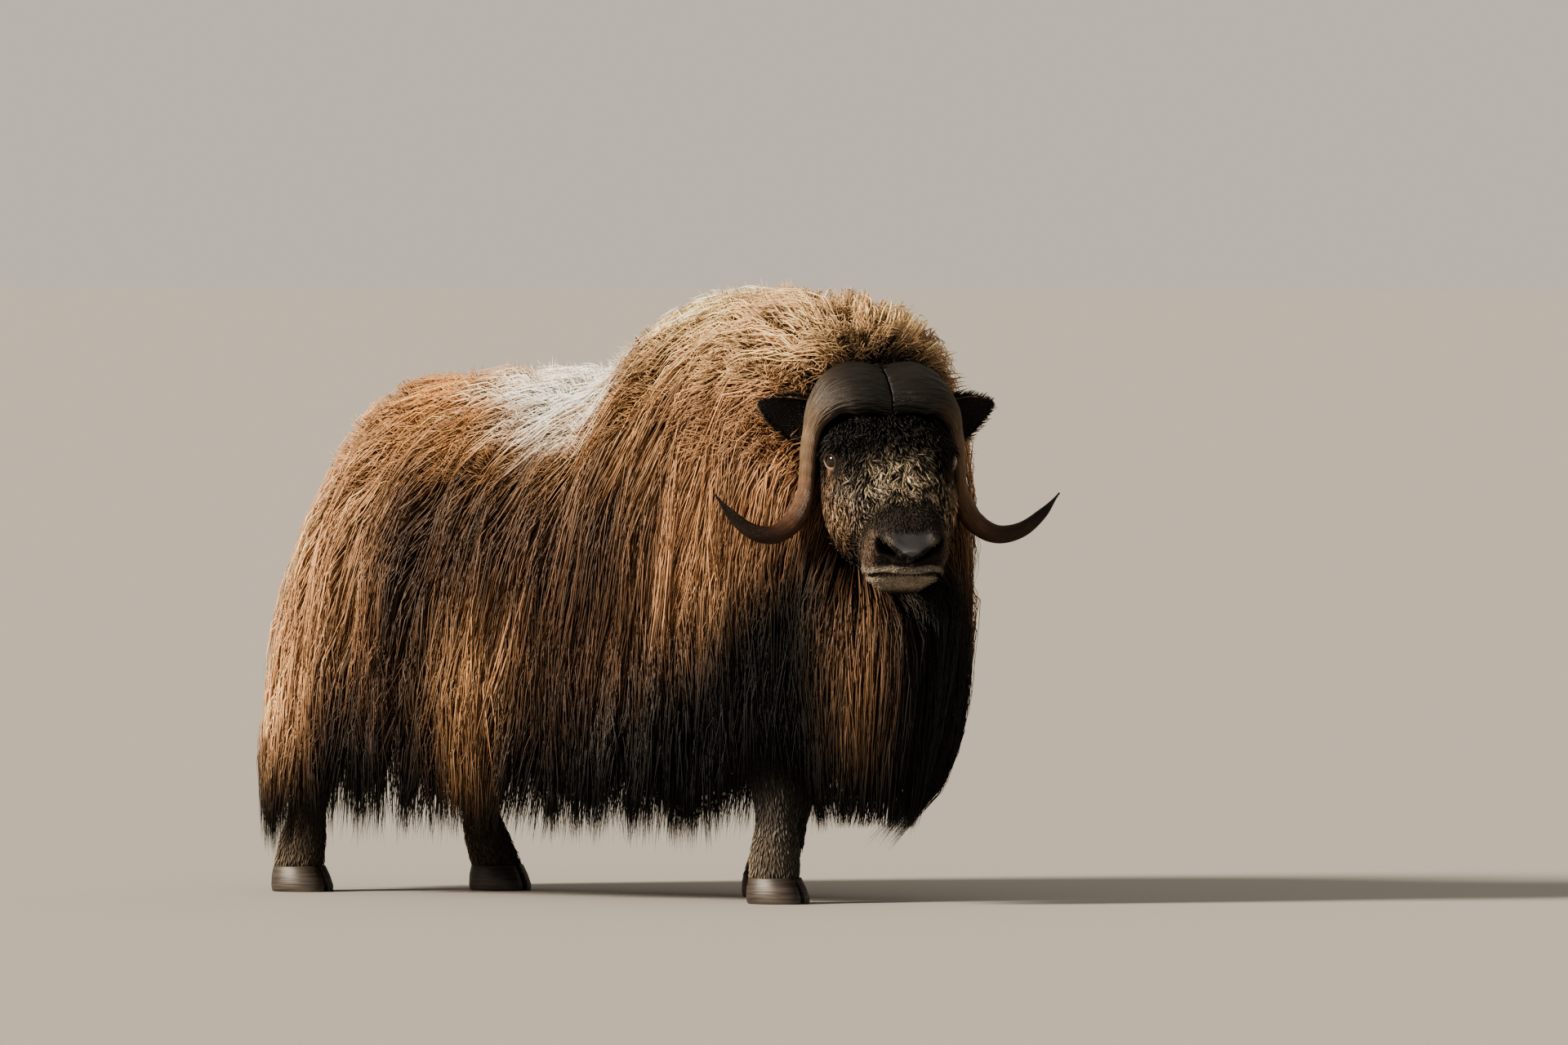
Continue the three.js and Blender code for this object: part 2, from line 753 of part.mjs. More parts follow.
function leg(name, grow = 0) {
  const { x, y, top, bend } = FEET[name];
  const girth = LEG_GIRTH[name.split("_")[0]];
  const rings = LEG_LEVELS.map((z) => {
    const climb = (z - HOOF_HEIGHT) / (LEG_TOP - HOOF_HEIGHT);
    const centreX = lerp(x, top[0], climb) + bend * sin(climb * PI);
    const centreY = lerp(y, top[1], climb);
    const level = z === LEG_TOP ? z + grow : z;
    return ringOf(10, (angle) => {
      const px = centreX + (girth.deep(z) + grow) * cos(angle);
      const py = centreY + (girth.wide(z) + grow) * sin(angle);
      return new THREE.Vector3(px, py, level);
    });
  });
  return loft(rings);
}

// A hoof: two broad claws joined at the back, with a cleft between them.
const HOOF_LEVELS = [
  { z: 0, toe: 84, heel: 56, wide: 58 },
  { z: 14, toe: 84, heel: 58, wide: 61 },
  { z: 36, toe: 74, heel: 58, wide: 59 },
  { z: HOOF_HEIGHT, toe: 60, heel: 54, wide: 54 },
];
function hoof(name) {
  const { x, y } = FEET[name];
  const rings = HOOF_LEVELS.map(({ z, toe, heel, wide }) =>
    ringOf(16, (angle) => {
      const reach = cos(angle) > 0 ? toe : heel;
      const px = x + reach * power(cos(angle), 0.86);
      return new THREE.Vector3(px, y + wide * power(sin(angle), 0.86), z);
    }),
  );
  const cleft = new THREE.Shape([
    new THREE.Vector2(-14, 0),
    new THREE.Vector2(100, -9),
    new THREE.Vector2(100, 9),
  ]);
  const wedge = new THREE.ExtrudeGeometry(cleft, { depth: 90, bevelEnabled: false });
  return loft(rings).subtract(solidOf(wedge).translate([x, y, -10]));
}

// The tail is short and hangs under the hair of the rump.
const TAIL_ROOT = new THREE.Vector3(-800, 0, 925);
const TAIL_TIP = new THREE.Vector3(-885, 0, 770);
const tailGirth = keyed([0, 34], [0.3, 38], [0.65, 32], [1, 12]);
function tail(grow = 0) {
  const rings = [0, 0.3, 0.65, 1].map((t) => {
    const centre = TAIL_ROOT.clone().lerp(TAIL_TIP, t);
    const half = tailGirth(t) + grow;
    return ringOf(10, (angle) => {
      const deep = 0.75 * half * sin(angle);
      return new THREE.Vector3(centre.x - deep * 0.88, half * cos(angle), centre.z - deep * 0.48);
    });
  });
  return loft(rings);
}

// The hair of the trunk and the neck: crest rows along the back, then tier under tier down to the hem.
const draw = draws(20);
const TRUNK_CREST = {
  rows: [0.045, 0.12],
  first: 590,
  last: -420,
  step: 150,
  length: 285,
  width: 136,
  thickness: 15,
  lift: 2,
};
const NECK_CREST = {
  rows: [0.08],
  first: 420,
  last: 170,
  step: 90,
  length: 170,
  width: 150,
  thickness: 14,
  lift: 2,
};
const TRUNK_TIERS = [
  { count: 16, start: 0.12, end: 0.38, width: 206, thickness: 18, ragged: 0.03, shift: 0.5, lift: 2 },
  { count: 18, start: 0.24, end: 0.6, width: 214, thickness: 18, ragged: 0.04, shift: 0.25, lift: 2 },
  { count: 20, start: 0.42, end: 0.8, width: 200, thickness: 17, ragged: 0.04, shift: 0.5, lift: 0 },
  { count: 32, start: 0.56, end: 1.01, width: 184, thickness: 16, ragged: 0.03, shift: 0, lift: 0 },
];
const NECK_TIERS = [
  { count: 10, start: 0.12, end: 0.38, width: 160, thickness: 17, ragged: 0.02, shift: 0.5, lift: 2 },
  { count: 11, start: 0.26, end: 0.6, width: 168, thickness: 17, ragged: 0.03, shift: 0.25, lift: 2 },
  { count: 12, start: 0.44, end: 0.8, width: 158, thickness: 16, ragged: 0.03, shift: 0.5, lift: 0 },
  { count: 17, start: 0.58, end: 1.01, width: 138, thickness: 15, ragged: 0.03, shift: 0, lift: 0 },
];
const CORE_FALLS = [0, 0.07, 0.16, 0.27, 0.4, 0.53, 0.68];
const trunkCore = trunkCoat.core(24, CORE_FALLS, COAT_DEPTH, BELLY_HEIGHT - 40);
const neckCore = neckCoat.core(20, CORE_FALLS, COAT_DEPTH, NECK_CORE_BOTTOM - 120);
const trunkLocks = [
  ...trunkCoat.crest(TRUNK_CREST, draw),
  ...TRUNK_TIERS.flatMap((tier) => trunkCoat.tier(tier, draw)),
];
const neckLocks = [
  ...neckCoat.crest(NECK_CREST, draw),
  ...NECK_TIERS.flatMap((tier) => neckCoat.tier(tier, draw)),
];

function geometryOf(solid) {
  const made = solid.getMesh();
  const geometry = new THREE.BufferGeometry();
  geometry.setAttribute("position", new THREE.BufferAttribute(made.vertProperties, 3));
  geometry.setIndex(new THREE.BufferAttribute(made.triVerts, 1));
  return geometry;
}

// Only the largest closed surface is kept, also after close vertices have been merged.
function meshOf(name, solid, finish) {
  const merged = solidOf(geometryOf(largest(solid)));
  const geometry = geometryOf(largest(merged));
  geometry.computeVertexNormals();
  const [color, roughness] = COLOURS[finish];
  const mesh = new THREE.Mesh(geometry, new THREE.MeshStandardMaterial({ color, roughness, metalness: 0 }));
  mesh.name = name;
  return mesh;
}

const muskox = new THREE.Group();
const head = new THREE.Group();
head.applyMatrix4(headMatrix);
muskox.add(head);

// Room is the space that a neighbour leaves round a piece.
const HORN_ROOM = { grow: 10, steps: 14, around: 10 };
const EAR_ROOM = { grow: 8, arc: 4, stations: [0, 0.35, 0.7, 1] };
const rooms = [headRoom()];
const additions = [nostrilWing(1), nostrilWing(-1), lip(9, 8), lip(-9, 7)];
const openings = [mouthCut(), nostril(1), nostril(-1)];
for (const [side, word] of [[1, "left"], [-1, "right"]]) {
  const place = headSide(EYE_AT, side);
  const hornGap = horn(side, { grow: GAP });
  additions.push(eyeLids(side));
  openings.push(ball(place, EYE_RADIUS + GAP), hornGap, ear(side, { grow: GAP }));
  head.add(meshOf("eye_" + word, ball(place, EYE_RADIUS), "eye"));
  head.add(meshOf("horn_" + word, horn(side), "horn"));
  head.add(meshOf("ear_" + word, ear(side).subtract(hornGap), "face"));
  rooms.push(horn(side, HORN_ROOM), ear(side, EAR_ROOM));
}
const skull = Manifold.union([headSolid(), ...additions]).subtract(Manifold.union(openings));
head.add(meshOf("head", skull, "face"));

const headSpace = Manifold.union(rooms).transform(headMatrix.elements);
const neckSpace = Manifold.union([headSpace, leg("front_right", GAP)]);
const mane = Manifold.union([neckCore, ...neckLocks]);
muskox.add(meshOf("neck", mane.intersect(aheadOfShoulder).subtract(neckSpace), "mane"));

const trunkRooms = Manifold.union([...Object.keys(FEET).map((name) => leg(name, GAP)), tail(GAP)]);
const coat = Manifold.union([trunkCore, ...trunkLocks]).subtract(trunkRooms).intersect(behindNeck);
for (const [length, [lowX, highX]] of Object.entries(LENGTHS)) {
  for (const [side, [lowY, highY]] of Object.entries(SIDES)) {
    const own = coat.intersect(slab(lowX, highX, lowY, highY));
    muskox.add(meshOf("torso_" + length + "_" + side, own, "coat"));
  }
}
muskox.add(meshOf("tail", tail(), "coat"));
for (const name of Object.keys(FEET)) {
  muskox.add(meshOf("leg_" + name, leg(name), "leg"));
  muskox.add(meshOf("hoof_" + name, hoof(name), "hoof"));
}

// The origin is on the floor, under the middle of the whole.
muskox.updateMatrixWorld(true);
const extent = new THREE.Box3().setFromObject(muskox, true);
const middle = extent.getCenter(new THREE.Vector3());
muskox.position.set(-middle.x, -middle.y, -extent.min.z);

export default muskox;
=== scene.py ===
# %% [markdown]
# # A muskox in its long coat
# This scene dresses a life-size muskox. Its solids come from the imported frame, and everything that the
# eye reads is added here: one skin, tens of thousands of tufts of hair, horns, eyes and hooves.
# The frame is loaded first, so that each piece can be placed from it.

# %% Load the frame
import json
import math

import bpy
import numpy as np
from mathutils import Matrix, Vector

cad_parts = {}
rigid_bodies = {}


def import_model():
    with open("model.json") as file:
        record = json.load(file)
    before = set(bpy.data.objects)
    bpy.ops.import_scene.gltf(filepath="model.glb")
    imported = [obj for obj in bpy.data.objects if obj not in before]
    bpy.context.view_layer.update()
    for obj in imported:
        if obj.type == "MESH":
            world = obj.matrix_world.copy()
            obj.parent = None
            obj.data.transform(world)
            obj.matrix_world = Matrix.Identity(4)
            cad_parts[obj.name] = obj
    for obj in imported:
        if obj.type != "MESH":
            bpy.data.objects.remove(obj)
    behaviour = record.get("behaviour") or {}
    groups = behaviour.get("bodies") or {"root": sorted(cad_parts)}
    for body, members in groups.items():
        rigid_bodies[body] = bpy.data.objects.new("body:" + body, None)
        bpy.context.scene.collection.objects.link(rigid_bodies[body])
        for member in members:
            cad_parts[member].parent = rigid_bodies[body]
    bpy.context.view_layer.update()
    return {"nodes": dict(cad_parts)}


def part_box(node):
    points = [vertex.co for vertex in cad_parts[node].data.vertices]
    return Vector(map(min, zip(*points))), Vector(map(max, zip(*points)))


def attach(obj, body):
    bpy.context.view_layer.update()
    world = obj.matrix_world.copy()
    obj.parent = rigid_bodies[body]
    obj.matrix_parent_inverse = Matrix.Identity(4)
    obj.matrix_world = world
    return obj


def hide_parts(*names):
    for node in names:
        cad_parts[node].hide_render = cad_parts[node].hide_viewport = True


for leftover in list(bpy.data.objects):
    bpy.data.objects.remove(leftover)
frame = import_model()

# %% [markdown]
# ## Numbers that the animal is made from
# The body's shape is a set of smooth curves through a few measured points, in millimetres. The same
# curves give the skin, the roots of the hair and the place of its tips, so these all follow one form.
# A curve that never overshoots its points keeps a bump from growing where none was measured.

# %% A smooth curve through key points
rng = np.random.default_rng(7)
TAU = 2 * math.pi


def keyed(*keys):
    """A smooth function through key points (at, value), level before the first and after the last."""
    at, value = np.array(keys, float).T
    step = np.diff(value) / np.diff(at)
    slope = np.zeros(len(at))
    for i in range(1, len(at) - 1):
        if step[i - 1] * step[i] > 0:
            slope[i] = 2 * step[i - 1] * step[i] / (step[i - 1] + step[i])

    def curve(x):
        x = np.clip(np.asarray(x, float), at[0], at[-1])
        i = np.clip(np.searchsorted(at, x, side="right") - 1, 0, len(at) - 2)
        span = at[i + 1] - at[i]
        t = (x - at[i]) / span
        rise = slope[i] * (t**3 - 2 * t**2 + t) + slope[i + 1] * (t**3 - t**2)
        return value[i] + (value[i + 1] - value[i]) * t * t * (3 - 2 * t) + span * rise

    return curve


def power(value, exponent):
    return np.sign(value) * np.abs(value) ** exponent


def blend(a, b, t):
    return a + (b - a) * t


def ramp(x, low, high):
    """0 below low, 1 above high, and a smooth rise between."""
    t = np.clip((np.asarray(x, float) - low) / (high - low), 0, 1)
    return t * t * (3 - 2 * t)


def hill(distance, reach):
    return np.exp(-((distance / reach) ** 2))


def unit(vectors):
    return vectors / np.maximum(np.linalg.norm(vectors, axis=-1, keepdims=True), 1e-9)


# %% [markdown]
# ## The coat as a form of its own
# A muskox's coat parts along the spine and falls to the hem like a cloak. Two cloaks are used, one for
# the trunk and one for the turned neck. A place on a cloak has two numbers, the turn round the animal
# and the fall from the parting, and an inset, which is its depth under the tips of the hair.

# %% The two cloaks
COAT_DEPTH, FOLD_DEPTH = 52, 19
TRUNK_DROP, NECK_DROP = 1180, 1150
HEM, BELLY = 140, 385
NECK_START, NECK_TURN, NECK_JOIN = np.array([430.0, 25.0, 0.0]), math.radians(-25), 185
HEAD_AT, HEAD_TURN, HEAD_PITCH = np.array([880.0, -183.0, 942.0]), math.radians(-38.5), math.radians(38)
BEARD, SHANK_SHOWS = 172, 250


def hanging(fall, share, widest, round_, flare):
    """How far out and how far down the hair at the side has come at each fall."""
    arc = np.clip(fall / share, 0, 1) * math.pi / 2
    below = np.clip((fall - share) / (1 - share), 0, 1.1)
    over = fall < share
    spread = np.where(over, np.sin(arc) ** round_, 1 + flare * below**1.5)
    sink = np.where(over, widest * (1 - np.cos(arc) ** round_), blend(widest, 1, below))
    return spread, sink


class Cloak:
    def __init__(self, front, rear, spine, squareness, half_width, ridge, profile, hem, axes, start):
        self.front, self.rear, self.spine, self.squareness = front, rear, spine, squareness
        self.half_width, self.ridge, self.profile, self.hem = half_width, ridge, profile, hem
        self.axes, self.start = np.array(axes, float), start
        turns = np.linspace(0, TAU, 1441)
        edge = np.stack(self.rim(turns, 0), 1)
        steps = np.linalg.norm(np.diff(edge, axis=0), axis=1)
        self.table = np.concatenate([[0], np.cumsum(steps)])
        self.girth = self.table[-1]
        self.steps = turns

    def turn(self, share):
        """The turn at an even share of the way round the rim."""
        whole = np.floor(share)
        return np.interp((share - whole) * self.girth, self.table, self.steps) + whole * TAU

    def rim(self, turn, inset):
        middle = (self.front + self.rear) / 2
        reach = (self.front - self.rear) / 2 - inset
        x = middle + reach * power(np.cos(turn), 2 / self.squareness)
        y = (self.half_width(x) - inset) * power(np.sin(turn), 2 / self.squareness)
        return x, y

    def at(self, turn, fall, inset):
        x, y = self.rim(turn, inset)
        over = np.clip(x, *self.spine)
        top = self.ridge(over) - inset
        spread, sink = self.profile(turn, np.clip(fall, 0, 1.1))
        place = np.stack([over + (x - over) * spread, y * spread, blend(top, self.hem(turn), sink)], -1)
        return place @ self.axes + self.start

    def out(self, turn, fall):
        level = np.clip(fall, 0.03, 0.97)
        round_ = self.at(turn + 0.02, level, 0) - self.at(turn - 0.02, level, 0)
        down = self.at(turn, level + 0.02, 0) - self.at(turn, level - 0.02, 0)
        return unit(np.cross(down, round_))


rump_spread = keyed(
    (0, 0), (0.05, 0.18), (0.164, 0.47), (0.34, 0.72), (0.525, 0.88), (0.71, 0.98), (0.85, 1.03), (1, 1.03),
)
throat_spread = keyed((0, 0), (0.12, 0.1), (0.42, 0.16), (0.52, 0.72), (0.6, 1), (1, 0.66))
throat_sink = keyed((0, 0), (0.12, 0.07), (0.42, 0.39), (0.52, 0.5), (0.6, 0.58), (1, 1))


def trunk_profile(turn, fall):
    spread, sink = hanging(fall, 0.56, 0.56, 0.9, -0.05)
    rear = np.maximum(0, -np.cos(turn)) ** 2
    return blend(spread, rump_spread(fall**1.2), rear), blend(sink, fall**1.2, rear)


def trunk_hem(turn):
    part = np.mod(turn / math.pi, 2)
    return HEM - 42 * hill(part - 1.2, 0.14) + 110 * hill(part - 0.22, 0.12)


def neck_profile(turn, fall):
    below = np.clip((fall - 0.5) / 0.5, 0, 1)
    far = ramp(np.sin(turn), 0, 0.6)
    flare = blend(-0.06, -0.36, ramp(np.cos(turn), -0.25, 0.6)) - far * (0.1 + 0.34 * below**8)
    spread, sink = hanging(fall, 0.5, 0.45, 0.7, flare)
    ahead = ramp(np.cos(turn), 0.25, 0.8)
    return blend(spread, throat_spread(fall), ahead), blend(sink, throat_sink(fall), ahead)


def neck_hem(turn):
    open_ = hill(np.mod(turn / math.pi, 2) - 1.56, 0.06)
    return blend(BEARD, HEM, ramp(-np.cos(turn), 0, 0.3)) + (SHANK_SHOWS - BEARD) * open_


trunk = Cloak(
    745, -948, (-570, 470), 3,
    keyed((-900, 322), (-400, 345), (60, 338), (420, 352)),
    keyed(
        (-570, 1152), (-300, 1170), (0, 1174), (60, 1188), (110, 1238), (165, 1290), (235, 1326),
        (310, 1346), (420, 1352),
    ),
    trunk_profile, trunk_hem, np.eye(3), np.zeros(3),
)
neck_axes = [
    [math.cos(NECK_TURN), math.sin(NECK_TURN), 0],
    [-math.sin(HEAD_TURN), math.cos(HEAD_TURN), 0],
    [0, 0, 1],
]
neck = Cloak(
    600, -60, (60, 335), 2.3,
    keyed((100, 350), (185, 338), (260, 300), (391, 225), (560, 160)),
    keyed((0, 1352), (150, 1346), (260, 1326), (335, 1284)),
    neck_profile, neck_hem, neck_axes, NECK_START,
)
print("girth of the trunk", round(trunk.girth), "mm, of the neck", round(neck.girth), "mm")

# %% [markdown]
# ## The head's own frame
# The head is turned and tipped, so it is modelled in a frame of its own: x runs to the muzzle, y to the
# animal's left and z out of the forehead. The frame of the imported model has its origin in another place
# than these numbers, and the middle of one eye shows how far to move everything.

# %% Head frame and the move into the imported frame
turn_matrix = Matrix.Rotation(HEAD_TURN, 3, "Z") @ Matrix.Rotation(HEAD_PITCH, 3, "Y")
HEAD_AXES = np.array(turn_matrix).T
EYE_AT, EYE_RADIUS = np.array([-10.0, 126.0, 41.0]), 21
EYE_FACING = unit(np.array([0.5, 0.84, 0.2]))
EYE_LONG = unit(np.array([1.0, 0, 0]) - EYE_FACING * EYE_FACING[0])
EYE_HIGH = np.cross(EYE_FACING, EYE_LONG)


def from_head(points):
    return np.asarray(points, float) @ HEAD_AXES + HEAD_AT


def to_head(points):
    return (np.asarray(points, float) - HEAD_AT) @ HEAD_AXES.T


low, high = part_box("eye_left")
SHIFT = np.array((low + high) / 2) * 1000 - from_head(EYE_AT)
print("moved by", SHIFT.round(1), "mm")

# %% [markdown]
# ## The camera
# A long lens flattens the form, so the distance of the camera matters as much as its direction. It
# stands 45 m away, 38 degrees ahead of the animal's right side, and looks down by less than a degree.
# The frame is 1920 pixels wide, and one pixel covers 1.82 mm of the animal.

# %% Camera
LOOK_AT = np.array([275.0, 215.0, 834.0])
AZIMUTH, ELEVATION, DISTANCE = math.radians(38), math.radians(0.8), 45.0
FOCAL_PIXELS, PHOTO_WIDTH = 24725, 1920
toward = Vector((
    math.sin(AZIMUTH) * math.cos(ELEVATION),
    -math.cos(AZIMUTH) * math.cos(ELEVATION),
    math.sin(ELEVATION),
))
camera_data = bpy.data.cameras.new("camera")
camera_data.sensor_width = 36
camera_data.lens = camera_data.sensor_width * FOCAL_PIXELS / PHOTO_WIDTH
camera_data.clip_start, camera_data.clip_end = 1, 1000
camera = bpy.data.objects.new("camera", camera_data)
bpy.context.scene.collection.objects.link(camera)
camera.location = Vector((LOOK_AT + SHIFT) / 1000) + toward * DISTANCE
camera.rotation_euler = (-toward).to_track_quat("-Z", "Y").to_euler()
bpy.context.scene.camera = camera
print("lens", round(camera_data.lens), "mm")

# %% [markdown]
# ## Colours and a helper for nodes
# Colours are written as they look on a screen, in hex, and turned to the linear values that the
# renderer works with. Each material is a short chain of nodes, so one small helper adds a node, sets
# its numbers and makes its links.


# %% Helpers for materials
def linear(hexcode):
    channels = [int(hexcode[i : i + 2], 16) / 255 for i in (1, 3, 5)]
    return [c / 12.92 if c <= 0.04045 else ((c + 0.055) / 1.055) ** 2.4 for c in channels]


def tone(hexcode):
    return np.array(linear(hexcode))


def add_node(material, kind, inputs=None, **settings):
    """Adds a node. Each input is a number, a colour, or a socket to link from."""
    node = material.node_tree.nodes.new(kind)
    for name, value in settings.items():
        setattr(node, name, value)
    for name, value in (inputs or {}).items():
        if isinstance(value, bpy.types.NodeSocket):
            material.node_tree.links.new(value, node.inputs[name])
        else:
            node.inputs[name].default_value = value
    return node


def new_material(name, roughness, **inputs):
    material = bpy.data.materials.new(name)
    material.use_nodes = True
    shader = material.node_tree.nodes["Principled BSDF"]
    shader.inputs["Roughness"].default_value = roughness
    for socket, value in inputs.items():
        shader.inputs[socket.replace("_", " ")].default_value = value
    return material, shader


# %% [markdown]
# ## What colour the hair is, and where
# The coat is darkest low down and on the beard, red-brown on the flanks, and bleached to straw on the
# hump and to cream on the saddle behind it. Painted highlights lie over these: gold on the top of the
# hump, tan on the rump, paler locks low on the near flank and a lit streak down the near side of the
# neck. The face is black-brown with buff hair over the nose, a painted highlight on each nose wing and
# painted shade in the nostrils. Lips and chin are pale, and the lower legs are grey and brown. The
# function here gives the colours of trunk and neck, and the face and the legs have one each further
# down. The skin of the trunk, neck and face has the same colours, darker, so that no bald patch shows.

# %% Markings and painted light
# The gold tone is no hair colour but a painted highlight for the top of the hump.
CREAM, STRAW, AMBER = tone("#fff6e8"), tone("#d3b188"), tone("#93714f")
RUSSET, UMBER, PITCH, HUMP_TOP_HIGHLIGHT = tone("#4f3a2b"), tone("#281c15"), tone("#080605"), tone("#f3d6a8")


def towards(colour, other, share):
    return colour + (other - colour) * np.clip(share, 0, 1)[..., None]


def mottle(places, size):
    """A smooth random pattern through space, about -1 to 1, in patches of this size."""
    chance = np.random.default_rng(3)
    total = np.zeros(places.shape[:-1])
    for _ in range(7):
        total += np.sin(
            places @ unit(chance.normal(0, 1, 3)) * chance.uniform(2, 5) / size + chance.uniform(0, TAU)
        )
    return total / 3


def body_colour(places):
    """The colour of the hair's outer half at each place on the trunk and neck, with its painted highlights.
    """
    x, y, z = places[..., 0], places[..., 1], places[..., 2]
    colour = np.broadcast_to(RUSSET, places.shape)
    colour = towards(colour, AMBER, ramp(z, 800, 1060))
    shoulder = ramp(x, 190, 400) * ramp(z, 420, 760) * (1 - 0.55 * ramp(x, 440, 600) * ramp(-z, -1000, -820))
    colour = towards(colour, tone("#a37e5e"), 0.85 * shoulder)
    colour = towards(colour, STRAW, ramp(z, 1080, 1270) * ramp(x, 40, 260))
    # Painted highlight: the top of the hump is lightened towards gold, as lamplight on it.
    colour = towards(colour, HUMP_TOP_HIGHLIGHT, 0.8 * ramp(z, 1200, 1330) * ramp(x, 40, 260) * ramp(-x, -480, -300))
    # Painted highlight: the rear of the coat is paled to tan, as where the low lamp catches the rump.
    rump_highlight = np.maximum(ramp(-x, 560, 780) * ramp(z, 90, 420), 0.8 * ramp(-x, 400, 620) * ramp(z, 420, 680))
    colour = towards(colour, tone("#cda27a"), 0.85 * rump_highlight)
    # Painted highlight: paler, lit locks low on the near flank only, none on the far side.
    near_flank_highlight = hill((x + 190) / 120, 1) * ramp(-y, 0, 60) * ramp(z, 60, 260)
    colour = towards(colour, tone("#a9835c"), 0.55 * near_flank_highlight * ramp(-z, -760, -480))
    # Under the painted highlights on the rump and flank, the darkening low down is held back.
    pale = np.maximum(0.9 * rump_highlight, 0.62 * near_flank_highlight)
    colour = towards(colour, UMBER, ramp(-z, -540, -320) * (1 - pale))
    colour = towards(colour, PITCH, ramp(-z, -400, -230) * (1 - pale))
    saddle_low = 1050 - 70 * hill(x + 40, 150) + 40 * mottle(places, 60)
    forward = x + 45 * mottle(places + 200, 50)
    saddle = ramp(x, -430, -60) * ramp(-forward, -170, 0) * ramp(z, saddle_low - 30, saddle_low + 150)
    colour = towards(
        colour, tone("#c08f5f"), 0.8 * ramp(x, -660, -440) * ramp(-x, -170, -40) * ramp(z, 940, 1110),
    )
    colour = towards(colour, CREAM, saddle * 1.2)
    # Painted highlight: an amber streak lit down the near side of the neck; the black of the throat gives way
    # to it.
    lit_neck_streak = (
        hill((0.79 * x + 0.62 * y - 515) / 80, 1) * ramp(-y, 0, 60) * ramp(z, 170, 330)
        * ramp(-z, -780, -640)
    )
    colour = towards(colour, AMBER, 0.26 * lit_neck_streak * ramp(x, 500, 600) * ramp(z, 240, 460))
    head = to_head(places)
    throat = (1 - 0.8 * lit_neck_streak) * ramp(head[..., 0], -60, 110) * ramp(-head[..., 2], 40, 200)
    colour = towards(colour, PITCH * 0.5, throat)
    poll = (
        hill((head[..., 0] + 200) / 95, 1) * hill((head[..., 1] - 30) / 150, 1)
        * ramp(head[..., 2], -20, 90)
    )
    return towards(colour, UMBER, poll * 1.5)


print("a russet strand is", np.round(RUSSET, 3), "in linear values")

# %% [markdown]
# ## The skin
# One skin runs from the muzzle to the tail and down each leg. It could be sculpted, but a body is well
# described by its cross-sections, so each part is a loft over rings, and the parts are then fused with
# the Boolean modifier, so that no seam is left. It lies under the hair, as deep as the coat is thick.


# %% Lofts
def new_mesh(name, places, faces, smooth=True):
    """A mesh object with its corners at these places, in millimetres of the design frame."""
    mesh = bpy.data.meshes.new(name)
    mesh.from_pydata(((np.asarray(places) + SHIFT) / 1000).tolist(), [], faces)
    mesh.validate()
    mesh.polygons.foreach_set("use_smooth", [smooth] * len(mesh.polygons))
    made = bpy.data.objects.new(name, mesh)
    bpy.context.scene.collection.objects.link(made)
    return made


def loft(name, rings):
    """A closed skin over rings, shape (rings, points, 3), with a fan at each end."""
    rings = np.asarray(rings, float)
    count, size = rings.shape[:2]
    places = np.concatenate([rings.reshape(-1, 3), rings[[0, -1]].mean(1)])
    faces = []
    for r in range(count - 1):
        for i in range(size):
            a, b = r * size + i, r * size + (i + 1) % size
            faces.append((a, b, b + size, a + size))
    last = (count - 1) * size
    for i in range(size):
        j = (i + 1) % size
        faces.append((j, i, count * size))
        faces.append((last + i, last + j, count * size + 1))
    made = new_mesh(name, places, faces)
    bpy.context.view_layer.objects.active = made
    bpy.ops.object.select_all(action="DESELECT")
    made.select_set(True)
    bpy.ops.object.mode_set(mode="EDIT")
    bpy.ops.mesh.select_all(action="SELECT")
    bpy.ops.mesh.normals_make_consistent(inside=False)
    bpy.ops.object.mode_set(mode="OBJECT")
    return made


def combine(target, tool, operation="UNION"):
    """Fuses a tool into the target or cuts it out, and removes the tool."""
    change = target.modifiers.new("fuse", "BOOLEAN")
    change.operation, change.solver, change.object = operation, "MANIFOLD", tool
    bpy.context.view_layer.objects.active = target
    bpy.ops.object.modifier_apply(modifier=change.name)
    bpy.data.objects.remove(tool)


def cloak_skin(name, cloak, around, bottom):
    """The body under one cloak, closed by a rounded belly."""
    turns = cloak.turn((np.arange(around) + 0.5) / around)
    rings = [cloak.at(turns, fall, COAT_DEPTH + 14) for fall in np.linspace(0.004, 0.68, 24)]
    middle = rings[-1].mean(0)
    for share, drop in ((0.95, 0.3), (0.86, 0.55), (0.7, 0.8), (0.45, 0.95)):
        ring = middle + (rings[-1] - middle) * share
        ring[:, 2] = blend(rings[-1][:, 2], bottom, drop)
        rings.append(ring)
    return loft(name, rings)


skin = cloak_skin("skin", trunk, 72, BELLY + 20)
combine(skin, cloak_skin("neck_skin", neck, 60, 460))
print("trunk and neck", len(skin.data.polygons), "faces")

# %% [markdown]
# ## The face
# The head is a loft too, and its profile, width and squareness change along it. Folds are added by
# moving its points in and out: a hollow for the nostril, a groove for the mouth with rolled lips above
# and below, the rim of the eye socket and the dip in front of it. The rings lie closer together towards
# the muzzle, where the folds are small.

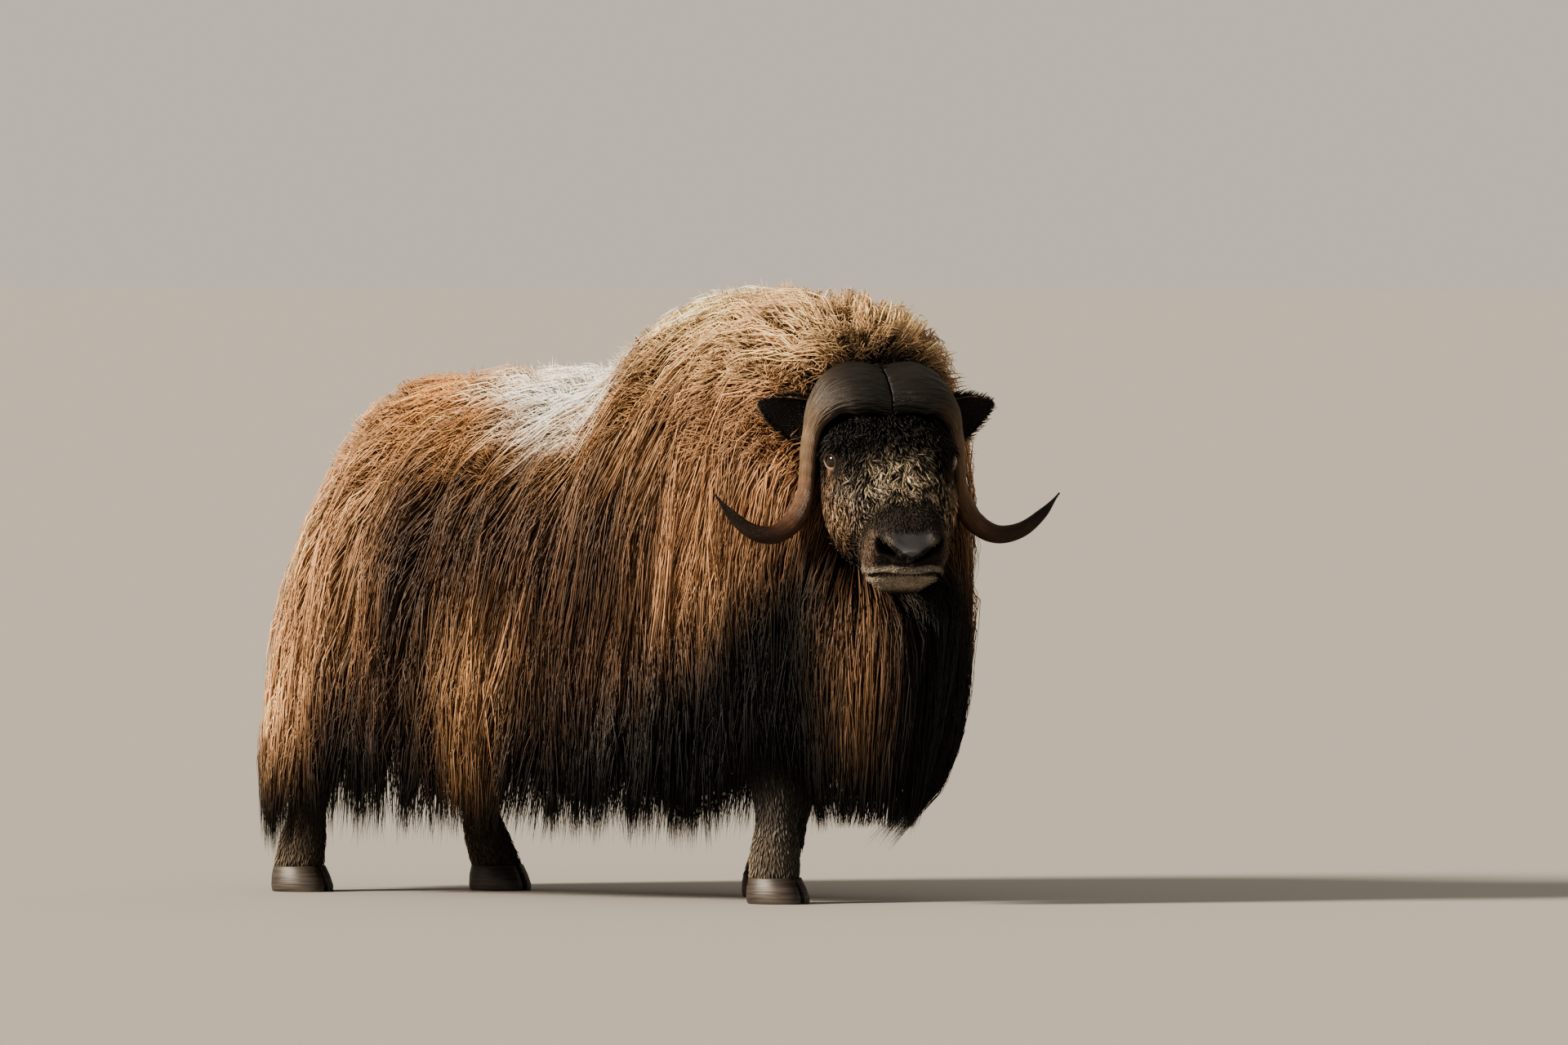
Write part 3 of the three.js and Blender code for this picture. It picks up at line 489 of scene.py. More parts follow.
# %% Head form
head_top = keyed(
    (-200, 70), (-165, 104), (-110, 112), (-40, 104), (20, 92), (110, 74), (190, 62), (232, 46), (262, 2),
)
head_bottom = keyed(
    (-200, -60), (-140, -122), (-70, -156), (40, -164), (100, -156),
    (150, -138), (185, -134), (214, -150), (240, -132), (262, -62),
)
head_half = keyed(
    (-200, 80), (-140, 117), (-60, 137), (30, 141), (80, 134),
    (125, 111), (165, 91), (220, 90), (246, 76), (262, 38),
)
head_wide = keyed((-200, 10), (-60, -8), (60, -50), (125, -70), (180, -48), (262, -34))
head_square = keyed((-160, 2.6), (0, 2.5), (110, 2), (200, 2.4))
mouth_level = keyed((150, -104), (205, -102), (230, -90), (246, -76), (262, -61))
HEAD_BACK, MUZZLE_TIP, MUZZLE_CAP, MUZZLE_END = -200, 262, 40, 300
NOSTRIL = np.array([[228, 70, 12], [246, 54, -14], [260, 8, -20]], float)
nostril_width = keyed((0, 6), (0.25, 13), (0.6, 9.5), (1, 6))
nostril_depth = keyed((0, 10), (0.3, 26), (0.7, 20), (1, 10))


def nostril_line(t):
    a, b, c = NOSTRIL
    t = np.asarray(t, float)[..., None]
    return a * (1 - t) ** 2 + 2 * b * t * (1 - t) + c * t**2


NOSTRIL_OUT = unit(np.array([0.86, 0.5, 0.1]))


def nostril_gap(x, y, z):
    """How far a place lies from the line of the nostril, its depth left out, and at which part of it."""
    near, part = np.full(x.shape, 1e9), np.zeros(x.shape)
    for t in np.linspace(0, 1, 25):
        gap = np.stack([x, np.abs(y), z], -1) - nostril_line(t)
        gap = (
            np.linalg.norm(gap - (gap @ NOSTRIL_OUT)[..., None] * NOSTRIL_OUT, axis=-1)
            + 4 * np.maximum(0, 200 - x)
        )
        part = np.where(gap < near, t, part)
        near = np.minimum(near, gap)
    return near, part


def nose_pad(x, y, z):
    """1 on the bare shield between the nostrils, 0 off it."""
    low_edge = -10 + 0.5 * np.abs(y)
    return (
        ramp(z, low_edge - 3, low_edge + 3) * ramp(-z, -42, -32) * ramp(-np.abs(y), -50, -43)
        * ramp(x, 205, 218)
    )


def bare_head(along, angle):
    """The plain form of the head, before its folds. Past the muzzle's tip the rings close over it."""
    cap = np.clip((along - MUZZLE_TIP) / MUZZLE_CAP, 0, 1)
    middle = head_wide(along)
    up = np.cos(angle)
    rise = np.where(up > 0, head_top(along) - middle, middle - head_bottom(along)) * (1 - cap)
    roundness = 2 / np.where(up > 0, head_square(along), 2.1)
    y = head_half(along) * (1 - cap) * power(np.sin(angle), roundness)
    z = middle + rise * power(up, roundness)
    x = np.minimum(along, MUZZLE_TIP) + 5 * (1 - (1 - cap) ** 2)
    return np.stack(np.broadcast_arrays(x, y, z), -1)


def head_surface(along, angle):
    """The head with its folds, in its own frame."""
    p = bare_head(along, angle)
    step = 1.5
    ahead = bare_head(np.minimum(along + step, MUZZLE_END), angle) - bare_head(along - step, angle)
    round_ = bare_head(along, angle + 0.01) - bare_head(along, angle - 0.01)
    out = unit(np.cross(ahead, round_))
    x, y, z = p[..., 0], np.abs(p[..., 1]), p[..., 2]
    side = ramp(y / np.maximum(head_half(along), 1), 0.5, 0.9)
    socket = 12 * hill(np.hypot((x - EYE_AT[0]) / 1.2, z - EYE_AT[2] - 3), 33)
    brow = 7 * hill(np.hypot((x - EYE_AT[0]) / 1.3, z - EYE_AT[2] - 34), 30)
    lift = (socket + brow) * ramp(y / np.maximum(head_half(along), 1), 0.3, 0.7)
    lift = lift - 9 * hill(np.hypot((x - EYE_AT[0] - 72) / 1.6, z - EYE_AT[2] + 12), 24) * side
    near, part = nostril_gap(x, y, z)
    width = nostril_width(part)
    lift = lift - nostril_depth(part) * ramp(-near, -width * 1.2, -width * 0.5)
    wing = np.sqrt((x - 238) ** 2 + (y - 47) ** 2 + (z - 27) ** 2)
    rim = np.sqrt(((x - 236) / 1.4) ** 2 + (y - 84) ** 2 + ((z + 20) / 2.6) ** 2)
    lift = lift + 6 * hill(wing, 13) + 5 * hill(rim, 15) + 2.5 * nose_pad(x, y, z)
    over_mouth = z - mouth_level(x)
    has_mouth = ramp(x, 146, 168)
    lift = lift - 10 * hill(over_mouth, 3) * has_mouth
    lift = lift + 6 * hill(over_mouth - 10, 8) * has_mouth + 4 * hill(over_mouth + 11, 9) * ramp(x, 158, 196)
    return p + out * lift[..., None]


stations = np.concatenate([
    np.linspace(-199, 120, 54), np.linspace(124, 206, 30),
    np.linspace(207.5, MUZZLE_TIP, 37), np.linspace(264, MUZZLE_END, 17),
])
angles = np.arange(176) / 176 * TAU
head_rings = head_surface(*np.meshgrid(stations, angles, indexing="ij"))
head_skin = loft("head_skin", from_head(head_rings))
print("head", len(head_skin.data.polygons), "faces")

# %% [markdown]
# ## Eyes and lids
# The eyes sit at the sides of the face and look a little ahead. Each is a ball with a dark brown iris,
# which leaves hardly any white to see. The lids wrap the ball, so a larger flattened ball is fused with
# the head, and a ring with it as their rolled edge. A socket for the eyeball and an opening in front of
# it are then cut out.


# %% Eyes
def head_point(place, side):
    return Vector((from_head(np.array(place) * [1, side, 1]) + SHIFT) / 1000)


def primitive(make, name, **settings):
    """A new primitive from a bpy.ops function, alone in the selection."""
    bpy.ops.object.select_all(action="DESELECT")
    make(**settings)
    made = bpy.context.object
    made.name = made.data.name = name
    return made


def settle(made):
    """Puts a finished object's place into its mesh."""
    bpy.ops.object.select_all(action="DESELECT")
    made.select_set(True)
    bpy.context.view_layer.objects.active = made
    bpy.ops.object.transform_apply(location=True, rotation=True, scale=True)
    bpy.ops.object.mode_set(mode="EDIT")
    bpy.ops.mesh.select_all(action="SELECT")
    bpy.ops.mesh.normals_make_consistent(inside=False)
    bpy.ops.object.mode_set(mode="OBJECT")
    bpy.ops.object.shade_smooth()


def on_eye(side, forward, *sizes):
    """Stands a primitive before an eye: x along the almond, y up it and z out of the eye."""
    axes = Matrix([(a * [1, side, 1]).tolist() for a in (EYE_LONG, EYE_HIGH, EYE_FACING)]).transposed()
    place = head_point(EYE_AT + EYE_FACING * forward, side)
    return Matrix.Translation(place) @ (turn_matrix @ axes).to_4x4() @ Matrix.Diagonal((*sizes, 1))


def ball(name, place, radius):
    made = primitive(
        bpy.ops.mesh.primitive_uv_sphere_add, name,
        segments=64, ring_count=32, radius=radius / 1000, location=place,
    )
    settle(made)
    return made


def round_form(name, side, forward, *sizes):
    """A ball stretched to these half-sizes along the almond, up it and out of the eye, in millimetres."""
    made = primitive(bpy.ops.mesh.primitive_uv_sphere_add, name, segments=72, ring_count=36, radius=0.001)
    made.matrix_world = on_eye(side, forward, *sizes)
    settle(made)
    return made


eyes = []
for side, word in ((1, "left"), (-1, "right")):
    at = head_point(EYE_AT, side)
    combine(head_skin, round_form("lids", side, -14, 40, 34, 29))
    edge = primitive(
        bpy.ops.mesh.primitive_torus_add, "lid_edge", major_segments=56, minor_segments=12,
        major_radius=0.0166, minor_radius=0.0042,
    )
    edge.matrix_world = on_eye(side, 15, 1.06, 0.94, 1)
    settle(edge)
    combine(head_skin, edge)
    combine(head_skin, ball("socket", at, EYE_RADIUS + 0.6), "DIFFERENCE")
    combine(head_skin, round_form("opening", side, 26, 15.5, 13.5, 22), "DIFFERENCE")
    eye = ball("eyeball_" + word, at, EYE_RADIUS)
    gaze = np.array(turn_matrix @ Vector((0.62, 0.76 * side, 0.16)).normalized())
    spots = np.array([v.co for v in eye.data.vertices]) - np.array(head_point(EYE_AT, side))
    facing = eye.data.attributes.new("facing", "FLOAT", "POINT")
    facing.data.foreach_set("value", unit(spots) @ gaze)
    eyes.append(eye)
print("eyes", [e.name for e in eyes])

# %% [markdown]
# ## Ears
# A muskox's ear is a pointed cup that sticks out behind the horn, and the long coat almost buries it.
# Rings of a half-moon section, wide in the middle and narrow at the tip, make the cup with a real wall.

# %% Ears
EAR_ROOT, EAR_TIP, EAR_FACING, EAR_WALL = [-128, 100, 22], [-200, 266, 52], [0.86, 0.1, 0.42], 7
ear_width = keyed((0, 40), (0.35, 56), (0.65, 44), (0.87, 22), (1, 4))
ear_depth = keyed((0, 24), (0.4, 26), (0.8, 14), (1, 4))


def ear_frame(side):
    mirror = np.array([1, side, 1])
    root, tip, ahead = np.array(EAR_ROOT) * mirror, np.array(EAR_TIP) * mirror, np.array(EAR_FACING) * mirror
    along = unit(tip - root)
    ahead = unit(ahead - along * (ahead @ along))
    return root, tip, along, ahead, np.cross(ahead, along)


def ear_rings(side, arc=20):
    root, tip, along, ahead, across = ear_frame(side)
    rings = []
    for t in np.linspace(0, 1, 28):
        wide, deep = ear_width(t), ear_depth(t)
        hollow = min(1, t / 0.3) * (1 - t**4)
        angle = np.linspace(-math.pi / 2, math.pi / 2, arc + 1)
        outer = np.stack([wide * np.sin(angle), -deep * np.cos(angle)], 1)
        inner_angle = angle[::-1][1:-1]
        inner = np.stack([
            (wide - EAR_WALL * hollow) * np.sin(inner_angle),
            -max(0, deep - EAR_WALL) * hollow * np.cos(inner_angle),
        ], 1)
        section = np.concatenate([outer, inner])
        rings.append(blend(root, tip, t) + section[:, :1] * across + section[:, 1:] * ahead)
    return rings


for side in (1, -1):
    combine(head_skin, loft("ear_skin", from_head(ear_rings(side))))
combine(skin, head_skin)
print("skin with head", len(skin.data.polygons), "faces")

# %% [markdown]
# ## Legs and tail
# The legs are short and mostly hidden. They swell at the knee or hock and above the hoof. The tail is a
# stub, set a little deeper than its node, so that the hair of the rump covers it.

# %% Legs and tail
FEET = {
    "front_right": dict(x=560, y=-185, top=(545, -175), bend=8),
    "front_left": dict(x=265, y=175, top=(400, 165), bend=20),
    "hind_right": dict(x=-811, y=-166, top=(-700, -160), bend=-12),
    "hind_left": dict(x=-515, y=175, top=(-590, 160), bend=-30),
}
LEG_BOTTOM, LEG_TOP = 58.4, 470
LEG_WIDE = {
    "front": keyed((58, 56), (100, 58), (180, 47), (290, 60), (470, 74)),
    "hind": keyed((58, 54), (100, 54), (190, 42), (330, 54), (470, 70)),
}
LEG_DEEP = {
    "front": keyed((58, 60), (100, 61), (180, 50), (290, 62), (470, 88)),
    "hind": keyed((58, 62), (100, 60), (190, 48), (330, 70), (470, 92)),
}
LEG_FUR = 6


def leg_surface(name, z, angle, inset=0):
    foot, pair = FEET[name], name.split("_")[0]
    climb = (z - 58) / (LEG_TOP - 58)
    x = blend(foot["x"], foot["top"][0], climb) + foot["bend"] * np.sin(climb * math.pi)
    y = blend(foot["y"], foot["top"][1], climb)
    deep, wide = LEG_DEEP[pair](z) - inset, LEG_WIDE[pair](z) - inset
    cord = 5 * hill((z - 190) / 70, 1) * hill(np.mod(angle, TAU) - math.pi, 0.5)
    return np.stack(np.broadcast_arrays(x + (deep - cord) * np.cos(angle), y + wide * np.sin(angle), z), -1)


angles = np.arange(40) / 40 * TAU
for name in FEET:
    levels = np.linspace(LEG_BOTTOM, LEG_TOP + 30, 44)
    rings = [leg_surface(name, z, angles, LEG_FUR) for z in levels]
    combine(skin, loft("leg_skin", rings))

TAIL_ROOT, TAIL_TIP = np.array([-790.0, 0, 925]), np.array([-880.0, 0, 775])
TAIL_INSET = np.array([28.0, 0, -16])
tail_girth = keyed((0, 34), (0.3, 36), (0.65, 30), (1, 9))
tail_rings = []
for t in np.linspace(0, 1, 14):
    half = tail_girth(t) * 0.9
    middle = blend(TAIL_ROOT, TAIL_TIP, t) + TAIL_INSET
    deep = 0.75 * half * np.sin(angles)
    tail_rings.append(middle + np.stack([-0.86 * deep, half * np.cos(angles), 0.51 * deep], 1))
combine(skin, loft("tail_skin", tail_rings))
print("whole skin", len(skin.data.polygons), "faces")

# %% [markdown]
# ## Horns
# A bull's horns spread from a broad boss over the forehead, drop beside the cheeks and hook out and up.
# A curve with a taper could make the shaft, but not the flat boss, so each horn is a loft again: an oval
# section that changes breadth and depth along a smooth line. Two coordinates, the way along and the way
# round, are kept as a UV map, because the fibres of the keratin follow them.

# %% Horn form
HORN_LINE = np.array([
    [-151, -6, 120], [-157, 58, 126], [-153, 110, 112], [-132, 147, 74], [-98, 165, 22], [-62, 170, -28],
    [-22, 178, -76], [16, 206, -112], [42, 252, -126], [46, 304, -112], [30, 352, -78], [5, 390, -40],
], float)
horn_breadth = keyed((0, 80), (0.12, 84), (0.24, 62), (0.34, 38), (0.5, 30), (0.66, 26), (0.88, 14), (1, 2))
horn_depth = keyed(
    (0, 34), (0.04, 39), (0.12, 42), (0.24, 29), (0.34, 17.5), (0.5, 16.5), (0.62, 23), (0.72, 21),
    (0.9, 12), (1, 2),
)
BOSS_CLEFT = 4


def smooth_line(points, samples):
    """A centripetal curve through points, sampled at even steps along its length."""
    ends = np.concatenate([[2 * points[0] - points[1]], points, [2 * points[-1] - points[-2]]])
    made = []
    for i in range(len(points) - 1):
        a, b, c, d = ends[i : i + 4]
        gaps = [max(np.linalg.norm(q - p) ** 0.5, 1e-4) for p, q in ((a, b), (b, c), (c, d))]
        into = ((b - a) / gaps[0] - (c - a) / (gaps[0] + gaps[1]) + (c - b) / gaps[1]) * gaps[1]
        outof = ((c - b) / gaps[1] - (d - b) / (gaps[1] + gaps[2]) + (d - c) / gaps[2]) * gaps[1]
        t = np.linspace(0, 1, 41)[:-1, None]
        made.append(
            b + into * t + (3 * (c - b) - 2 * into - outof) * t**2 + (2 * (b - c) + into + outof) * t**3
        )
    made = np.concatenate([*made, points[-1:]])
    length = np.concatenate([[0], np.cumsum(np.linalg.norm(np.diff(made, axis=0), axis=1))])
    even = np.linspace(0, length[-1], samples)
    return np.stack([np.interp(even, length, made[:, k]) for k in range(3)], 1), length[-1]


HORN_RINGS, HORN_ROUND = 170, 160
horns = []
for side, word in ((1, "left"), (-1, "right")):
    line, length = smooth_line(HORN_LINE * [1, side, 1], HORN_RINGS)
    t = np.linspace(0, 1, HORN_RINGS)
    tangent = unit(np.gradient(line, axis=0))
    aft = np.stack([np.ones_like(t), np.zeros_like(t), blend(0.16, 0.78, ramp(t, 0.12, 0.4))], 1)
    aft = unit(aft - tangent * np.sum(aft * tangent, 1, keepdims=True))
    out = np.cross(tangent, aft)
    angle = np.arange(HORN_ROUND) / HORN_ROUND * TAU
    grooves = sum(
        np.abs(np.sin(angle * n + twist * np.sin(t * wave + n)[:, None])) - 0.6
        for n, twist, wave in ((9, 1.6, 13), (14, 1.3, 29), (23, 1.1, 47))
    )
    rough = 1.5 * grooves * (1 - ramp(t, 0.2, 0.42))[:, None]
    ringed = 0.5 * np.sin(t * length / 5.2) * ramp(t, 0.3, 0.4) * (1 - ramp(t, 0.6, 0.75))
    broad = (horn_breadth(t) + ringed)[:, None] + rough
    deep = (horn_depth(t) + ringed)[:, None] + rough
    rings = (
        line[:, None]
        + aft[:, None] * (broad * power(np.cos(angle), 0.84))[..., None]
        + out[:, None] * (deep * power(np.sin(angle), 0.84))[..., None]
    )
    rings[..., 1] = side * np.maximum(side * rings[..., 1], BOSS_CLEFT / 2)
    horn = loft("horn_" + word + "_keratin", from_head(rings))
    grain = horn.data.uv_layers.new(name="grain")
    corners = np.zeros(len(horn.data.loops), int)
    horn.data.loops.foreach_get("vertex_index", corners)
    ring_at, round_at = np.divmod(corners, HORN_ROUND)
    along = np.where(ring_at < HORN_RINGS, ring_at, 0) / (HORN_RINGS - 1)
    flat = np.abs(round_at / HORN_ROUND - 0.5) * 2
    grain.data.foreach_set("uv", np.stack([flat * 0.35, along], 1).ravel())
    horns.append(horn)
print("each horn is", round(length), "mm along its line")

# %% [markdown]
# ## Hooves
# A hoof has two claws with a cleft between them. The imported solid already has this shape, so a copy of
# it is welded, and a bevel softens its edges as wear does.

# %% Hooves
hooves = []
for name in FEET:
    node = frame["nodes"]["hoof_" + name]
    hoof = bpy.data.objects.new("claws_" + name, node.data.copy())
    bpy.context.scene.collection.objects.link(hoof)
    bpy.ops.object.select_all(action="DESELECT")
    hoof.select_set(True)
    bpy.context.view_layer.objects.active = hoof
    bpy.ops.object.mode_set(mode="EDIT")
    bpy.ops.mesh.select_all(action="SELECT")
    bpy.ops.mesh.remove_doubles(threshold=0.0001)
    bpy.ops.mesh.tris_convert_to_quads(face_threshold=0.6, shape_threshold=0.6)
    bpy.ops.object.mode_set(mode="OBJECT")
    worn = hoof.modifiers.new("worn", "BEVEL")
    worn.width, worn.segments, worn.limit_method = 0.004, 3, "ANGLE"
    worn.angle_limit = math.radians(35)
    bpy.ops.object.modifier_apply(modifier=worn.name)
    bpy.ops.object.shade_smooth_by_angle(angle=math.radians(50))
    hooves.append(hoof)
print("hooves", len(hooves))

# %% [markdown]
# ## How a tuft is made
# Hair that is grown by particles is lost when a model is exported, so each tuft here is a small closed
# mesh: rings of three points along its path, narrowing to a single point at the tip. Many tufts are
# written into one mesh at once. Its colours are stored at its points, and a UV map called OFBake gives
# each tuft a small patch of its own, at its root's place on the unwrapped cloak.

# %% Tufts
PATCH = 0.003
TRUNK_LOCKS, NECK_LOCKS, STRANDS = 3100, 2200, 10
BACK_WOOL, NECK_WOOL = 25000, 24000
FACE_TRIALS, PARTING_TUFTS, EAR_TUFTS, LEG_TUFTS = 21500, 420, 1400, 1400


def hair_mesh(name, paths, outs, widths, colours, patches, flat=0.42):
    """paths (tufts, stations, 3), outs alike, widths (tufts, stations), colours alike, patches (tufts, 2)."""
    tufts, stations = paths.shape[:2]
    along = unit(np.gradient(paths, axis=1))
    across = unit(np.cross(along, outs))
    out = np.cross(across, along)
    wide = widths[..., None] / 2
    rings = np.stack([paths + across * wide, paths + out * wide * 2 * flat, paths - across * wide], 2)
    rings = rings[:, :-1].reshape(tufts, -1, 3)
    places = (np.concatenate([rings, paths[:, -1:]], 1) + SHIFT) / 1000
    each = places.shape[1]
    quads, ends = [], [(0, 1, 2)]
    for r in range(stations - 2):
        for i in range(3):
            j = (i + 1) % 3
            quads.append((r * 3 + j, r * 3 + i, r * 3 + 3 + i, r * 3 + 3 + j))
    last = (stations - 2) * 3
    for i in range(3):
        ends.append((last + (i + 1) % 3, last + i, each - 1))
    first = np.arange(tufts)[:, None] * each
    corners = np.concatenate([np.ravel(quads).astype(int), np.ravel(ends)])
    sizes = np.array([4] * len(quads) + [3] * len(ends))
    corner_of = (first + corners).ravel()
    starts = np.concatenate([[0], np.cumsum(np.tile(sizes, tufts))[:-1]])
    mesh = bpy.data.meshes.new(name)
    mesh.vertices.add(tufts * each)
    mesh.vertices.foreach_set("co", places.astype(np.float32).ravel())
    mesh.loops.add(len(corner_of))
    mesh.loops.foreach_set("vertex_index", corner_of.astype(np.int32))
    mesh.polygons.add(len(starts))
    mesh.polygons.foreach_set("loop_start", starts.astype(np.int32))
    mesh.update(calc_edges=True)
    mesh.polygons.foreach_set("use_smooth", np.ones(len(starts), bool))
    shade = np.concatenate([np.repeat(colours[:, :-1], 3, axis=1), colours[:, -1:]], 1)
    rgba = np.concatenate([shade, np.ones(shade.shape[:2] + (1,))], -1)
    layer = mesh.color_attributes.new("hair_colour", "FLOAT_COLOR", "POINT")
    layer.data.foreach_set("color", rgba.astype(np.float32).ravel())
    part = np.concatenate([np.repeat(np.arange(stations - 1), 3), [stations - 1]]) / (stations - 1)
    sideways = np.concatenate([np.tile([0, 0.5, 1], stations - 1), [0.5]])
    patch = patches[:, None] + (np.stack([sideways, part], 1) - 0.5)[None] * PATCH
    chart = mesh.uv_layers.new(name="OFBake")
    chart.data.foreach_set("uv", patch.reshape(-1, 2)[corner_of].astype(np.float32).ravel())
    made = bpy.data.objects.new(name, mesh)
    bpy.context.scene.collection.objects.link(made)
    hair_pieces.append(made)
    return made


hair_pieces = []


def spread_out(count):
    """Places spread evenly over the unit square, with no rows to see."""
    i = np.arange(count)[:, None]
    return (0.5 + i * np.array([0.7548776662466927, 0.5698402909980532])) % 1


def patch_places(across, down):
    """Puts two coordinates on the whole chart of one piece, with a margin."""
    pair = np.stack([across, down], 1)
    size = np.maximum(np.ptp(pair, axis=0), 1e-6)
    return 0.01 + 0.98 * (pair - pair.min(0)) / size


# %% [markdown]
# ## The lie of the coat
# Long guard hairs grow in locks. A lock starts deep in the wool, comes out to the surface and hangs,
# swept a little to the rear, steeply so along the spine. The strands of a lock start apart and close up
# to its tip. Where a lock is rooted decides its length: short wool on the saddle, and down to the hem
# from the flank.


# %% Long hair
def bare_places(cloak, share, fall, keep):
    """The size of a cloak's surface at each place, as a chance to grow a root there."""
    turn = cloak.turn(share)
    here = cloak.at(turn, fall, COAT_DEPTH)
    round_ = np.linalg.norm(cloak.at(cloak.turn(share + 0.002), fall, COAT_DEPTH) - here, axis=-1) / 0.002
    down = np.linalg.norm(cloak.at(turn, fall + 0.005, COAT_DEPTH) - here, axis=-1) / 0.005
    return round_ * down * keep


def neck_local(places):
    return (places - NECK_START) @ np.linalg.inv(neck.axes)


def inside_head(places, room=0.0):
    h = to_head(places)
    x, y, z = h[..., 0], np.abs(h[..., 1]), h[..., 2]
    middle = head_wide(x)
    rise = np.where(z > middle, head_top(x) - middle, middle - head_bottom(x)) + room
    reach = head_half(x) + room
    square = np.where(z > middle, head_square(x), 2.1)
    inside = (y / reach) ** square + np.abs((z - middle) / rise) ** square < 1
    return inside & (x > HEAD_BACK - room) & (x < MUZZLE_TIP + room)


horn_lines = [smooth_line(HORN_LINE * [1, side, 1], 60)[0] for side in (1, -1)]


def inside_horn(places, room=4.0):
    h = to_head(places)
    hit = np.zeros(h.shape[:-1], bool)
    t = np.linspace(0, 1, 60)
    reach = (horn_breadth(t) + horn_depth(t)) / 2 + room
    for line in horn_lines:
        for middle, radius in zip(line, reach):
            hit |= np.sum((h - middle) ** 2, -1) < radius**2
    return hit


def inside_leg(places):
    hit = np.zeros(places.shape[:-1], bool)
    z = np.clip(places[..., 2], 58, LEG_TOP)
    climb = (z - 58) / (LEG_TOP - 58)
    for name, foot in FEET.items():
        pair = name.split("_")[0]
        x = blend(foot["x"], foot["top"][0], climb) + foot["bend"] * np.sin(climb * math.pi)
        y = blend(foot["y"], foot["top"][1], climb)
        away = np.hypot((places[..., 0] - x) / LEG_DEEP[pair](z), (places[..., 1] - y) / LEG_WIDE[pair](z))
        hit |= (away < 0.97) & (places[..., 2] < LEG_TOP - 20)
    return hit


def inside_ear(places):
    """True in an ear and in the room before its opening, which no long hair crosses."""
    hit = np.zeros(places.shape[:-1], bool)
    for side in (1, -1):
        root, tip, along, ahead, across = ear_frame(side)
        from_root = to_head(places) - root
        t = from_root @ along / np.linalg.norm(tip - root)
        before = from_root @ ahead
        near = np.abs(from_root @ across) < ear_width(np.clip(t, 0, 1)) * 0.95
        hit |= near & (t > 0) & (t < 1.03) & (before > -34) & (before < 130)
    return hit


# Where the coat is creased or stands out: share of the way round, half breadth, fall, and height.
CREASES = {
    "trunk": (
        (0.8, 0.026, 0.4, -1.3), (0.697, 0.011, 0.3, -1), (0.843, 0.012, 0.25, -0.9),
        (0.737, 0.02, 0.35, 0.7),
    ),
    "neck": ((0.858, 0.024, 0.42, -1.4), (0.935, 0.022, 0.4, 0.9)),
}


def folds(cloak, share, fall):
    """The broad folds of the hanging coat, about -1 in a crease and 1 on a ridge."""
    place = share * cloak.girth
    bend = 2.2 * np.sin(place / 97 + fall * 3) + 2 * fall
    height = (
        0.4 * np.sin(place / 27 + bend) + 0.35 * np.sin(place / 43 - bend)
        + 0.25 * np.sin(place / 15 + 2 * bend)
    )
    height = height * ramp(fall, 0.12, 0.42)
    for at, breadth, start, strength in CREASES["trunk" if cloak is trunk else "neck"]:
        gap = np.mod(share - at + 0.5, 1) - 0.5 + 0.008 * np.sin(fall * 13 + at * 50)
        height = height + strength * hill(gap, breadth) * ramp(fall, start - 0.1, start + 0.15)
    return height


def lock_paths(cloak, share, fall, length, slant, root, tip, stations, wave):
    """Paths over a cloak from roots at (share, fall). slant is the sweep to the rear, in radians."""
    t = np.linspace(0, 1, stations)
    turn0 = cloak.turn(share)
    rearward = np.where(np.mod(turn0, TAU) < math.pi, 1.0, -1.0) * np.abs(np.sin(turn0)) ** 0.7
    round_mm = (length * np.sin(slant) * rearward)[:, None] * t
    wiggle = wave[:, :1] * np.sin(t * wave[:, 1:2] + wave[:, 2:3]) - wave[:, :1] * np.sin(wave[:, 2:3])
    share_t = share[:, None] + (round_mm + wiggle) / cloak.girth
    drop = TRUNK_DROP if cloak is trunk else NECK_DROP
    fall_t = fall[:, None] + (length * np.cos(slant))[:, None] * t / drop
    depth = root[:, None] + (tip - root)[:, None] * np.minimum(1, t / 0.5) ** 0.8
    depth = depth - FOLD_DEPTH * folds(cloak, share_t, fall_t) * np.minimum(1, t / 0.4)
    turn = cloak.turn(share_t)
    return cloak.at(turn, fall_t, depth), cloak.out(turn, fall_t)


def blocked(paths):
    """True for each path that runs into the head, a horn, an ear or a leg. Midpoints are tried too."""
    dense = np.concatenate([paths[:, 1:], (paths[:, 2:] + paths[:, 1:-1]) / 2], 1)
    return (inside_head(dense, -6) | inside_horn(dense) | inside_ear(dense) | inside_leg(dense)).any(1)


